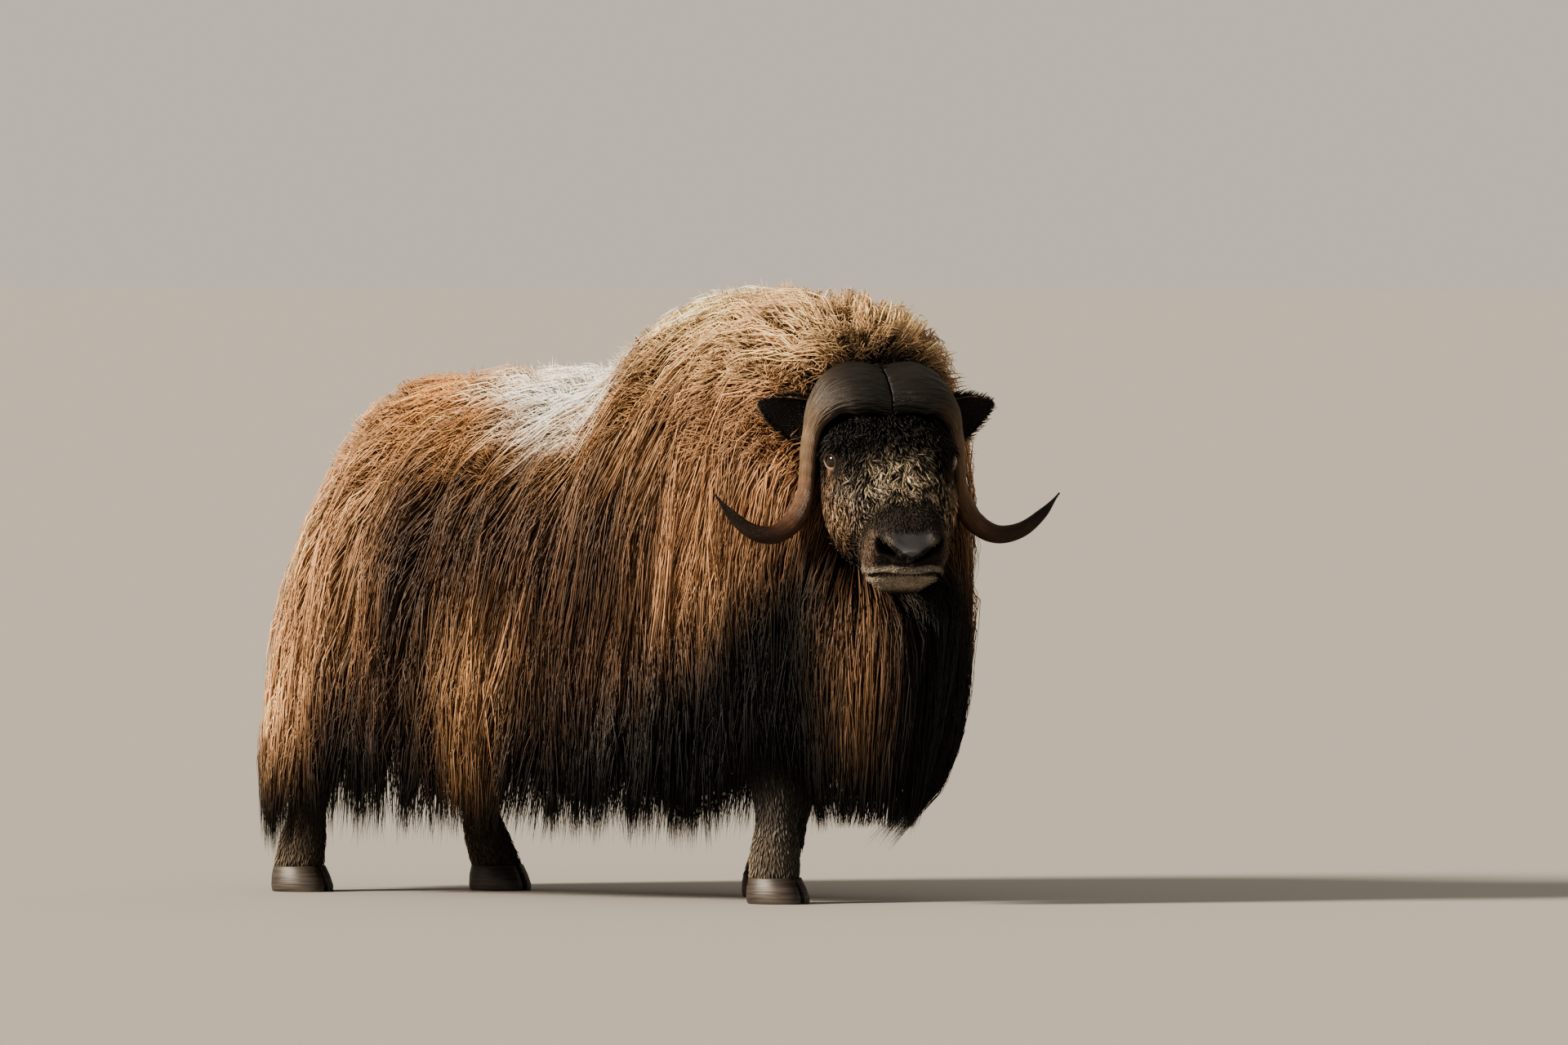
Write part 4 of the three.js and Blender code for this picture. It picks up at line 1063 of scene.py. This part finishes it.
def long_hair(cloak, locks, strands, stations=5):
    """Guard hair in locks over a whole cloak. Returns what hair_mesh needs, one row for each strand."""
    trial = spread_out(locks * 3)
    share, fall = trial[:, 0], 0.005 + trial[:, 1] * 0.69
    chance = bare_places(cloak, share, fall, 1 + 0.7 * ramp(fall, 0.45, 0.6))
    kept = rng.random(len(chance)) < chance / np.quantile(chance, 0.9) * 0.5
    share, fall = share[kept], fall[kept]
    middle = cloak.at(cloak.turn(share), fall, COAT_DEPTH)
    ahead = neck_local(middle)[:, 0]
    mine = ahead < NECK_JOIN + 25 if cloak is trunk else ahead > NECK_JOIN - 25
    share, fall = share[mine], fall[mine]
    n = len(share)
    wool = ramp(-fall, -0.3, -0.05)
    reach = blend(430, 105, wool) * np.exp(rng.normal(0, 0.16, n))
    bottom = rng.uniform(0.8, 1.03, n) ** 0.8
    to_hem = (bottom - fall) * TRUNK_DROP
    reach = np.where(fall > 0.4, np.maximum(reach, to_hem * rng.uniform(0.75, 1, n)), reach)
    slant = blend(0.1, 1.25, ramp(-fall, -0.42, -0.02)) + rng.normal(0, 0.1, n)
    row = np.repeat(np.arange(n), strands)
    m = len(row)
    off = rng.normal(0, 1, (m, 2)) * [14, 22]
    s = share[row] + off[:, 0] / cloak.girth
    f = np.clip(fall[row] + off[:, 1] / TRUNK_DROP, 0.003, 0.7)
    length = np.minimum(reach[row] * rng.uniform(0.62, 1.08, m), (1.01 - f) * TRUNK_DROP)
    wave = np.stack([rng.normal(0, 5, m), rng.uniform(2.5, 6, m), rng.uniform(0, TAU, m)], 1)
    root = np.full(m, COAT_DEPTH + 16.0)
    tip = rng.gamma(1.6, 7, m) - 4 - 5 * wool[row] + np.clip(rng.normal(0, 7, n), -9, 16)[row]
    angle = slant[row] + rng.normal(0, 0.05, m)
    paths, outs = lock_paths(cloak, s, f, length, angle, root, tip, stations, wave)
    guides, _ = lock_paths(
        cloak, share[row], fall[row], length, slant[row], root, tip, stations, wave[row * strands],
    )
    t = np.linspace(0, 1, stations)
    paths = paths + (guides - paths) * (0.6 * t**1.3)[None, :, None]
    paths = paths + rng.normal(0, 1, paths.shape) * (2.2 * np.minimum(1, 2 * t))[None, :, None]
    keep = ~blocked(paths)
    width = rng.uniform(2.7, 4.6, m)[:, None] * (1 - 0.6 * t**2)[None]
    glint = np.where(rng.random(m) < 0.13, 1.7, 1.0)
    light = np.exp(rng.normal(0, 0.3, n)[row] + rng.normal(0, 0.16, m)) * glint
    # Painted shade and highlight: each strand is darkened in the creases of the coat's folds and lightened on
    # their ridges.
    light = light[:, None] * (0.28 + 0.72 * ramp(t, 0.05, 0.4)) * np.exp(0.42 * folds(cloak, s, f))[:, None]
    colour = np.clip(body_colour(paths) * light[..., None], 0, 0.9)
    return paths[keep], outs[keep], width[keep], colour[keep], np.stack([s, f], 1)[keep]


# %% Grow the long hair and divide it into pieces
def in_pieces(name, grown, pieces):
    """Writes hair into meshes of equal size, each with the tufts of one sector."""
    paths, outs, widths, colours, roots = grown
    roots[:, 0] %= 1
    for number, mine in enumerate(np.array_split(np.argsort(roots[:, 0]), pieces)):
        places = patch_places(*roots[mine].T)
        hair_mesh(f"{name}_{number + 1}", paths[mine], outs[mine], widths[mine], colours[mine], places)
    print(name, "tufts", len(paths), "in", pieces, "pieces")


in_pieces("trunk_hair", long_hair(trunk, TRUNK_LOCKS, STRANDS), 6)
in_pieces("neck_hair", long_hair(neck, NECK_LOCKS, STRANDS), 2)

# %% [markdown]
# ## Wool on the hump and the saddle
# Along the spine the coat is soft wool that stands up and curls. Short tufts with few stations are
# enough for it. They lean back, and bend in small swirls.


# %% Wool
def wool(cloak, count, fall_low, fall_high, front, rear, height):
    trial = spread_out(count * 2)
    share, fall = trial[:, 0], fall_low + (fall_high - fall_low) * trial[:, 1]
    chance = bare_places(cloak, share, fall, 1.0)
    kept = rng.random(len(chance)) < chance / chance.max()
    share, fall = share[kept], fall[kept]
    turn = cloak.turn(share)
    ground = cloak.at(turn, fall, 26)
    out = cloak.out(turn, fall)
    ahead = neck_local(ground)[:, 0]
    mine = (ahead < NECK_JOIN + 10) if cloak is trunk else (ahead > NECK_JOIN - 10)
    mine &= (ground[:, 0] < front) & (ground[:, 0] > rear)
    ground, out, share, fall = ground[mine], out[mine], share[mine], fall[mine]
    n = len(ground)
    length = height * rng.uniform(0.7, 1.05, n)[:, None]
    swirl = np.stack([mottle(ground + shift, 32) for shift in (0, 400, 800)], 1)
    bend = unit(0.9 * swirl + rng.normal(0, 0.45, (n, 3)) + [-0.6, 0, -0.5])
    paths = np.stack([ground - out * 8, ground + out * length * 0.42 + bend * length * 0.16,
                      ground + out * length * 0.72 + bend * length * 0.46,
                      ground + out * length * 0.84 + bend * length * 0.9], 1)
    side = unit(np.cross(out, bend + rng.normal(0, 0.3, (n, 3))))
    outs = np.repeat(unit(np.cross(side, bend))[:, None], 4, axis=1)
    width = rng.uniform(1.8, 3.2, n)[:, None] * np.array([1, 0.95, 0.7, 0.3])
    light = (
        np.exp(rng.normal(0, 0.12, n) + 0.16 * mottle(ground, 45))[:, None]
        * np.array([0.5, 0.85, 1.05, 1.1])
    )
    colour = np.clip(body_colour(paths) * light[..., None], 0, 0.9)
    keep = ~blocked(paths)
    return paths[keep], outs[keep], width[keep], colour[keep], np.stack([share, fall], 1)[keep]


in_pieces("back_wool", wool(trunk, BACK_WOOL, 0.0, 0.34, 900, -660, 37), 2)
in_pieces("neck_wool", wool(neck, NECK_WOOL, 0.0, 0.42, 2000, -2000, 36), 1)

# %% [markdown]
# ## Short hair on the face, the ears and the legs
# Short hair follows the surface closely. Its tufts are the smallest of all, about a centimetre long by
# the lips and longer on the forehead and the jaw. Their roots are spread over the same lofts as the
# skin, and each lies along the surface at a low angle.


# %% Face colours
def eye_rings(h):
    """How far a place lies from the line of sight, and from the bare skin under the eye."""
    away = h * np.where(h[..., 1:2] < 0, [1, -1, 1], [1, 1, 1]) - EYE_AT
    ahead = away @ EYE_FACING
    rim = np.hypot(away @ EYE_LONG, away @ EYE_HIGH) + 4 * np.maximum(0, -ahead)
    below = np.linalg.norm(away - EYE_FACING * 16 - [2, 0, -27], axis=-1)
    return rim, below


def face_colour(h):
    """The markings of the face, with a painted highlight on each nose wing and painted shade in the nostrils,
    for places in the head's frame.
    """
    x, y, z = h[..., 0], np.abs(h[..., 1]), h[..., 2]
    patchy = mottle(h, 17)
    colour = np.broadcast_to(tone("#0d0a08"), h.shape)
    bridge = hill((x - 92) / 55, 1) * ramp(z, 0, 55) * ramp(-y, -88, -45)
    colour = towards(colour, tone("#b0a088"), bridge * (0.5 + 0.6 * patchy))
    cheek = hill(np.hypot((x - 62) / 1.3, z + 36) / 58, 1) * ramp(y, 55, 100)
    colour = towards(colour, tone("#856a52"), cheek * (0.8 + 0.4 * patchy))
    over_mouth = z - mouth_level(x)
    muzzle = ramp(x, 165, 205)
    colour = towards(colour, tone("#2a2421"), muzzle)
    colour = towards(colour, tone("#5f4f42"), muzzle * ramp(y, 66, 88))
    colour = towards(colour, tone("#57575b"), nose_pad(x, y, z))
    # Painted highlight: a pale spot on each wing of the nose.
    wing = np.sqrt((x - 240) ** 2 + (y - 46) ** 2 + (z - 20) ** 2)
    colour = towards(colour, tone("#a89f95"), hill(wing / 10, 1))
    under_nose = ramp(x, 190, 215) * ramp(-z, 18, 28) * ramp(over_mouth, 20, 30) * ramp(-y, -70, -50)
    colour = towards(colour, tone("#191310"), under_nose)
    colour = towards(
        colour, tone("#81776c"), ramp(x, 172, 200) * ramp(over_mouth, 3, 8) * ramp(-over_mouth, -28, -20),
    )
    lower = ramp(x, 166, 196) * ramp(-over_mouth, 4, 9)
    colour = towards(colour, tone("#918677"), lower * ramp(over_mouth, -52, -30))
    colour = towards(colour, tone("#120c09"), ramp(-z, 92, 130) * ramp(-x, -196, -150))
    colour = towards(colour, tone("#0b0807"), ramp(-np.abs(over_mouth), -6, -3.5) * ramp(x, 150, 165))
    # The hollow of each nostril is coloured near black: its dark lining, deepened by painted shade.
    near, part = nostril_gap(x, y, z)
    colour = towards(
        colour, tone("#070505"), ramp(-near, -nostril_width(part) * 1.15, -nostril_width(part) * 0.8),
    )
    rim, below = eye_rings(h)
    colour = towards(colour, tone("#0e0a08"), ramp(-rim, -34, -24))
    colour = towards(colour, tone("#8f7059"), 0.9 * hill(below / 9, 1))
    lid = ramp(rim, 10, 13) * ramp(-rim, -21, -18)
    colour = towards(colour, tone("#3d3129"), lid)
    return towards(colour, tone("#8a7460"), lid * ramp(EYE_AT[2] + 4 - z, 0, 16))


# %% Face hair
def surface_tufts(place, normal, lie, length, width, colour, lift, stray=0.16, stations=4):
    """Short tufts that leave the surface at a low angle along lie."""
    n = len(place)
    t = np.linspace(0, 1, stations)[None, :, None]
    lie = unit(lie - normal * np.sum(lie * normal, 1, keepdims=True))
    astray = rng.normal(0, stray, (n, 3))
    forward = unit(lie + astray - normal * np.sum(astray * normal, 1, keepdims=True))
    rise = (lift * length)[:, None, None] * (1.5 * t - 0.75 * t**2) * normal[:, None]
    paths = place[:, None] - normal[:, None] * 1.2 + forward[:, None] * length[:, None, None] * t + rise
    outs = np.repeat(normal[:, None], stations, axis=1)
    widths = width[:, None] * (1 - 0.5 * t[..., 0] ** 1.5)
    light = np.exp(rng.normal(0, 0.34, n))[:, None] * (0.5 + 0.65 * t[..., 0])
    return paths, outs, widths, np.clip(colour[:, None] * light[..., None], 0, 0.9)


trial = spread_out(FACE_TRIALS)
along, angle = blend(-196, MUZZLE_END - 3, trial[:, 0]), trial[:, 1] * TAU
here = head_surface(along, angle)
ahead = head_surface(along + 1.5, angle) - head_surface(along - 1.5, angle)
round_ = head_surface(along, angle + 0.01) - head_surface(along, angle - 0.01)
normal = unit(np.cross(ahead, round_))
area = np.linalg.norm(round_, axis=1) * np.linalg.norm(ahead, axis=1)
x, y, z = here[:, 0], np.abs(here[:, 1]), here[:, 2]
rim, below_eye = eye_rings(here)
near, part = nostril_gap(x, y, z)
lips = (x > 165) & (np.abs(z - mouth_level(x)) < 6)
bare = (
    (rim < 25) | (below_eye < 7) | (near < nostril_width(part) * 1.1 + 2) | (nose_pad(x, y, z) > 0.3) | lips
)
keep = (rng.random(len(area)) < area / np.quantile(area, 0.96)) & ~bare & ~inside_horn(from_head(here), -3)
here, normal, ahead, along, angle = here[keep], normal[keep], unit(ahead[keep]), along[keep], angle[keep]
x, y, z = here[:, 0], np.abs(here[:, 1]), here[:, 2]
size = blend(31.0, 9.0, ramp(x, 95, 200)) + 12 * ramp(-x, 0, 60) * ramp(z, 20, 70)
size = size + 14 * ramp(-z, 100, 150) * ramp(-x, -200, -120)
size = size * rng.uniform(0.7, 1.25, len(size)) * blend(0.3, 1, ramp(rim[keep], 24, 56))
lie = ahead + np.stack([0 * x, 0.35 * np.sign(here[:, 1]), -0.5 * ramp(y, 60, 120)], 1)
lie = lie + ramp(-x, -200, -120)[:, None] * 0.8 * np.stack(
    [0 * x, mottle(here, 26), mottle(here + 500, 26)], 1,
)
colour = face_colour(here)
grizzle = (rng.random(len(x)) < 0.35) & (rim[keep] > 34)
buff = hill((x - 96) / 55, 1) * ramp(z, -90, 0)
colour = towards(colour, tone("#c0b097"), np.where(grizzle, 0.55 * buff, 0))
widths = rng.uniform(2.2, 4.2, len(x)) * (0.6 + size / 38)
face_tufts = surface_tufts(
    from_head(here), normal @ HEAD_AXES, lie @ HEAD_AXES, size, widths, colour,
    0.45 - 0.14 * ramp(size, 8, 20), 0.34,
)
hair_mesh("face_hair", *face_tufts, patch_places(along, angle))
print("face tufts", len(face_tufts[0]))

# %% Hair in the parting of the boss
along = rng.uniform(-1, 1, PARTING_TUFTS)
dome = 30 * (1 - along**2) ** 0.6
here = np.stack([HORN_LINE[0, 0] + 78 * along, rng.normal(0, 2.2, PARTING_TUFTS), HORN_LINE[0,
    2] + dome - 14], 1)
normal = unit(np.stack([along * 0.8, 0 * along, 1 - 0.3 * along**2], 1))
lie = np.stack([0.5 + 0 * along, rng.normal(0, 0.2, PARTING_TUFTS), 0 * along], 1)
parting_tufts = surface_tufts(
    from_head(here), normal @ HEAD_AXES, lie @ HEAD_AXES,
    rng.uniform(12, 20, PARTING_TUFTS), rng.uniform(1.6, 2.8, PARTING_TUFTS),
    np.broadcast_to(tone("#1c1612"), here.shape), np.full(PARTING_TUFTS, 1.6), 0.3,
)
hair_mesh("parting_hair", *parting_tufts, patch_places(along, here[:, 1]))

# %% Ear hair
trial = spread_out(EAR_TUFTS)
for side, word in ((1, "left"), (-1, "right")):
    root, tip, along_ear, ahead_ear, across_ear = ear_frame(side)
    t, angle = trial[:, 0] * 0.97, blend(-1.62, 1.62, trial[:, 1])
    wide, deep = ear_width(t), ear_depth(t)
    inner = rng.random(len(t)) < 0.3
    hollow = np.minimum(1, t / 0.3) * (1 - t**4)
    wide = np.where(inner, wide - EAR_WALL * hollow, wide)
    deep = np.where(inner, np.maximum(0, deep - EAR_WALL) * hollow, deep)
    here = (
        root + (tip - root) * t[:, None] + across_ear * (wide * np.sin(angle))[:, None]
        - ahead_ear * (deep * np.cos(angle))[:, None]
    )
    normal = unit(
        across_ear * (np.sin(angle) / np.maximum(wide, 4))[:, None]
        - ahead_ear * (np.cos(angle) / np.maximum(deep, 4))[:, None]
    )
    normal = np.where(inner[:, None], -normal, normal)
    lie = np.broadcast_to(along_ear, here.shape) + rng.normal(0, 0.15, here.shape)
    edge = ramp(np.abs(angle), 1.1, 1.6)
    low_edge = edge * (normal[:, 2] < 0)
    # Painted shade: tufts inside the ear cup are darkened fully to near black, those outside by a third.
    colour = towards(np.broadcast_to(tone("#3a2a1d"), here.shape), tone("#0f0b09"), np.where(inner, 1, 0.3))
    colour = towards(colour, tone("#8d7a62"), low_edge * 0.8)
    size = blend(18.0, 9.0, t) * rng.uniform(0.7, 1.2, len(t)) * (1 + 0.7 * edge)
    paths, outs, widths, colours = surface_tufts(
        from_head(here), normal @ HEAD_AXES, lie @ HEAD_AXES, size, rng.uniform(2.6, 4.2, len(t)), colour,
        np.full(len(t), 0.3),
    )
    hair_mesh("ear_hair_" + word, paths, outs, widths, colours, patch_places(t, angle))

# %% Leg hair
def leg_colour(name, z, angle):
    back = 0.5 + 0.5 * np.cos(angle - math.pi)
    base = "#4d4b48" if name.startswith("front") else "#352c25"
    colour = towards(np.broadcast_to(tone(base), z.shape + (3,)), tone("#2c211a"), ramp(z, 250, 380))
    return towards(colour, tone("#a4947c"), back * ramp(-z, -230, -110) * 0.6)


for name in FEET:
    trial = spread_out(LEG_TUFTS)
    z, angle = 60 + trial[:, 0] * 390, trial[:, 1] * TAU
    here = leg_surface(name, z, angle, LEG_FUR)
    up = leg_surface(name, z + 1.5, angle, LEG_FUR) - leg_surface(name, z - 1.5, angle, LEG_FUR)
    round_ = leg_surface(name, z, angle + 0.02, LEG_FUR) - leg_surface(name, z, angle - 0.02, LEG_FUR)
    normal = unit(np.cross(round_, up))
    size = (
        blend(15.0, 26.0, ramp(z, 80, 350)) * rng.uniform(0.7, 1.2, len(z))
        * (1 + 0.5 * hill((z - 78) / 16, 1))
    )
    size = np.minimum(size, (z - 30) * 0.6)
    paths, outs, widths, colours = surface_tufts(
        here, normal, -up, size, rng.uniform(3, 5, len(z)), leg_colour(name, z, angle), np.full(len(z), 0.3)
    )
    hair_mesh("leg_hair_" + name, paths, outs, widths, colours, patch_places(angle, z))
triangles = sum(len(piece.data.loops) - 2 * len(piece.data.polygons) for piece in hair_pieces)
print("hair pieces", len(hair_pieces), "triangles", triangles)

# %% [markdown]
# ## Materials
# Hair is keratin with pigment: coloured, half glossy, and never pure black or white. Its colour comes
# from the points of each tuft. Skin has the same colours, rougher, with pores as bumps.


# %% Skin colours
places = np.array([v.co for v in skin.data.vertices]) * 1000 - SHIFT
head_places = to_head(places)
in_head = inside_head(places, 40) & (head_places[:, 0] > -140)
ear_gap = np.full(len(places), 1e9)
for side in (1, -1):
    root, tip = ear_frame(side)[:2]
    for t in np.linspace(0.1, 1, 10):
        ear_gap = np.minimum(
            ear_gap, np.linalg.norm(head_places - blend(root, tip, t), axis=1) - ear_width(t),
        )
# The skin takes the colours of coat and face, their painted highlights and shade included, darker.
colours = body_colour(places) * 0.4
colours[in_head] = face_colour(head_places[in_head]) * 0.8
colours[ear_gap < 8] = tone("#120d0a")
leg_like = inside_leg(places * [1, 1, 0.999]) | (places[:, 2] < 240)
colours[leg_like] = tone("#453d35")
layer = skin.data.color_attributes.new("hair_colour", "FLOAT_COLOR", "POINT")
layer.data.foreach_set(
    "color", np.concatenate([colours, np.ones((len(colours), 1))], 1).astype(np.float32).ravel(),
)

# %% Hair and skin
hair, shader = new_material("guard_hair_keratin", 0.5, IOR=1.55, Specular_IOR_Level=0.28)
pigment = add_node(hair, "ShaderNodeAttribute", attribute_name="hair_colour")
hair.node_tree.links.new(pigment.outputs["Color"], shader.inputs["Base Color"])
for piece in hair_pieces:
    piece.data.materials.append(hair)

hide, shader = new_material("short_haired_skin", 0.75, IOR=1.45, Specular_IOR_Level=0.25)
pigment = add_node(hide, "ShaderNodeAttribute", attribute_name="hair_colour")
where = add_node(hide, "ShaderNodeTexCoord")
pores = add_node(
    hide, "ShaderNodeTexNoise", {"Vector": where.outputs["Object"], "Scale": 420.0, "Detail": 3.0},
)
relief = add_node(
    hide, "ShaderNodeBump", {"Height": pores.outputs["Fac"], "Strength": 0.35, "Distance": 0.002},
)
hide.node_tree.links.new(pigment.outputs["Color"], shader.inputs["Base Color"])
hide.node_tree.links.new(relief.outputs["Normal"], shader.inputs["Normal"])
skin.data.materials.clear()
skin.data.materials.append(hide)

# %% Horn keratin
keratin, shader = new_material("fibrous_horn_keratin", 0.45, IOR=1.55, Specular_IOR_Level=0.35)
chart = add_node(keratin, "ShaderNodeUVMap", uv_map="grain")
stretch = add_node(keratin, "ShaderNodeMapping", {"Vector": chart.outputs["UV"], "Scale": (150.0, 14.0, 1.0)})
fibres = add_node(
    keratin, "ShaderNodeTexNoise",
    {"Vector": stretch.outputs["Vector"], "Scale": 1.0, "Detail": 5.0, "Roughness": 0.6},
)
split = add_node(keratin, "ShaderNodeSeparateXYZ", {"Vector": chart.outputs["UV"]})
length_tones = add_node(keratin, "ShaderNodeValToRGB", {"Fac": split.outputs["Y"]})
stops = [
    (0.0, "#1b1917"), (0.13, "#26221e"), (0.22, "#453b32"), (0.34, "#806d57"), (0.5, "#7b5f47"),
    (0.66, "#5e412e"), (0.8, "#382519"), (1.0, "#0b0908"),
]
ramp_stops = length_tones.color_ramp.elements
for position, colour in stops[1:-1]:
    ramp_stops.new(position)
for stop, (position, colour) in zip(sorted(ramp_stops, key=lambda e: e.position), stops):
    stop.position = position
    stop.color = (*linear(colour), 1)
shades = add_node(
    keratin, "ShaderNodeMapRange",
    {"Value": fibres.outputs["Fac"], "From Min": 0.32, "From Max": 0.68, "To Min": 0.3, "To Max": 1.1},
)
mixed = add_node(keratin, "ShaderNodeVectorMath", {0: length_tones.outputs["Color"]}, operation="SCALE")
keratin.node_tree.links.new(shades.outputs["Result"], mixed.inputs["Scale"])
keratin.node_tree.links.new(mixed.outputs["Vector"], shader.inputs["Base Color"])
relief = add_node(
    keratin, "ShaderNodeBump", {"Height": fibres.outputs["Fac"], "Strength": 0.8, "Distance": 0.005},
)
keratin.node_tree.links.new(relief.outputs["Normal"], shader.inputs["Normal"])
for horn in horns:
    horn.data.materials.append(keratin)

# %% Eyes and hooves
wet, shader = new_material("wet_eye", 0.06, IOR=1.38, Coat_Weight=1.0, Coat_Roughness=0.03)
facing = add_node(wet, "ShaderNodeAttribute", attribute_name="facing")
iris = add_node(wet, "ShaderNodeValToRGB", {"Fac": facing.outputs["Fac"]})
iris.color_ramp.elements[0].position, iris.color_ramp.elements[0].color = 0.55, (*linear("#4a3527"), 1)
iris.color_ramp.elements[1].position, iris.color_ramp.elements[1].color = 0.93, (*linear("#050403"), 1)
ring = iris.color_ramp.elements.new(0.66)
ring.color = (*linear("#2b160c"), 1)
wet.node_tree.links.new(iris.outputs["Color"], shader.inputs["Base Color"])
for eye in eyes:
    eye.data.materials.append(wet)

claw, shader = new_material("worn_hoof_keratin", 0.5, IOR=1.55)
where = add_node(claw, "ShaderNodeTexCoord")
bands = add_node(claw, "ShaderNodeMapping", {"Vector": where.outputs["Object"], "Scale": (12.0, 12.0, 220.0)})
growth = add_node(
    claw, "ShaderNodeTexNoise", {"Vector": bands.outputs["Vector"], "Scale": 1.0, "Detail": 3.0},
)
tones = add_node(claw, "ShaderNodeValToRGB", {"Fac": growth.outputs["Fac"]})
tones.color_ramp.elements[0].position, tones.color_ramp.elements[0].color = 0.3, (*linear("#1b1714"), 1)
tones.color_ramp.elements[1].position, tones.color_ramp.elements[1].color = 0.75, (*linear("#4a4037"), 1)
relief = add_node(
    claw, "ShaderNodeBump", {"Height": growth.outputs["Fac"], "Strength": 0.4, "Distance": 0.002},
)
claw.node_tree.links.new(tones.outputs["Color"], shader.inputs["Base Color"])
claw.node_tree.links.new(relief.outputs["Normal"], shader.inputs["Normal"])
for hoof in hooves:
    hoof.data.materials.clear()
    hoof.data.materials.append(claw)

# %% [markdown]
# ## What each piece stands for
# The skin replaces the nodes of flesh. Eyes, horns and hooves each replace their own node. All of them
# ride on the one body of this still model.

# %% Ride and replace
flesh = [n for n in frame["nodes"] if not n.startswith(("eye_", "horn_", "hoof_"))]
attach(skin, "root")
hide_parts(*flesh)
for piece in hair_pieces:
    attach(piece, "root")
for horn, eye, word in zip(horns, eyes, ("left", "right")):
    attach(horn, "root")
    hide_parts("horn_" + word)
    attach(eye, "root")
    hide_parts("eye_" + word)
for hoof, name in zip(hooves, FEET):
    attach(hoof, "root")
    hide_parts("hoof_" + name)

# %% [markdown]
# ## Floor and light
# The floor is plain and pale. A strong warm lamp stands low on the left of the picture and a little to
# the camera's side, with a soft edge to its shadow. A weak, very broad one lights the front, and a pale
# room lights the rest.

# %% Floor
floor = primitive(bpy.ops.mesh.primitive_plane_add, "floor", size=900)
bpy.ops.object.mode_set(mode="EDIT")
bpy.ops.mesh.subdivide(number_cuts=3)
bpy.ops.object.mode_set(mode="OBJECT")
pale, shader = new_material("pale_studio_floor", 0.9)
shader.inputs["Base Color"].default_value = (*linear("#a9a6a1"), 1)
floor.data.materials.append(pale)

# %% Lights
world = bpy.data.worlds.new("pale_room")
bpy.context.scene.world = world
world.use_nodes = True
room = world.node_tree.nodes["Background"]
room.inputs["Color"].default_value = (*linear("#ebe0d1"), 1)
seen = add_node(world, "ShaderNodeLightPath")
strength = add_node(
    world, "ShaderNodeMapRange", {"Value": seen.outputs["Is Camera Ray"], "To Min": 0.48, "To Max": 0.68},
)
world.node_tree.links.new(strength.outputs["Result"], room.inputs["Strength"])
right = Vector((math.cos(AZIMUTH), math.sin(AZIMUTH), 0))
level_toward = Vector((math.sin(AZIMUTH), -math.cos(AZIMUTH), 0))


def add_sun(name, direction, softness, strength, colour):
    """A distant lamp. Softness is the angle that it fills in the sky, in degrees."""
    lamp_data = bpy.data.lights.new(name, "SUN")
    lamp_data.angle, lamp_data.energy, lamp_data.color = math.radians(softness), strength, linear(colour)
    lamp = bpy.data.objects.new(name, lamp_data)
    bpy.context.scene.collection.objects.link(lamp)
    lamp.location = direction.normalized() * 5
    lamp.rotation_euler = (-direction).to_track_quat("-Z", "Y").to_euler()


add_sun("low_sun", right * -0.88 + level_toward * 0.42 + Vector((0, 0, 0.46)), 12, 7.5, "#fff0dc")
add_sun("front_fill", right * 0.1 + level_toward + Vector((0, 0, 0.4)), 60, 0.35, "#eef2ff")
bpy.context.scene.view_settings.look = "AgX - Medium High Contrast"
print("lamps", len(bpy.data.lights))
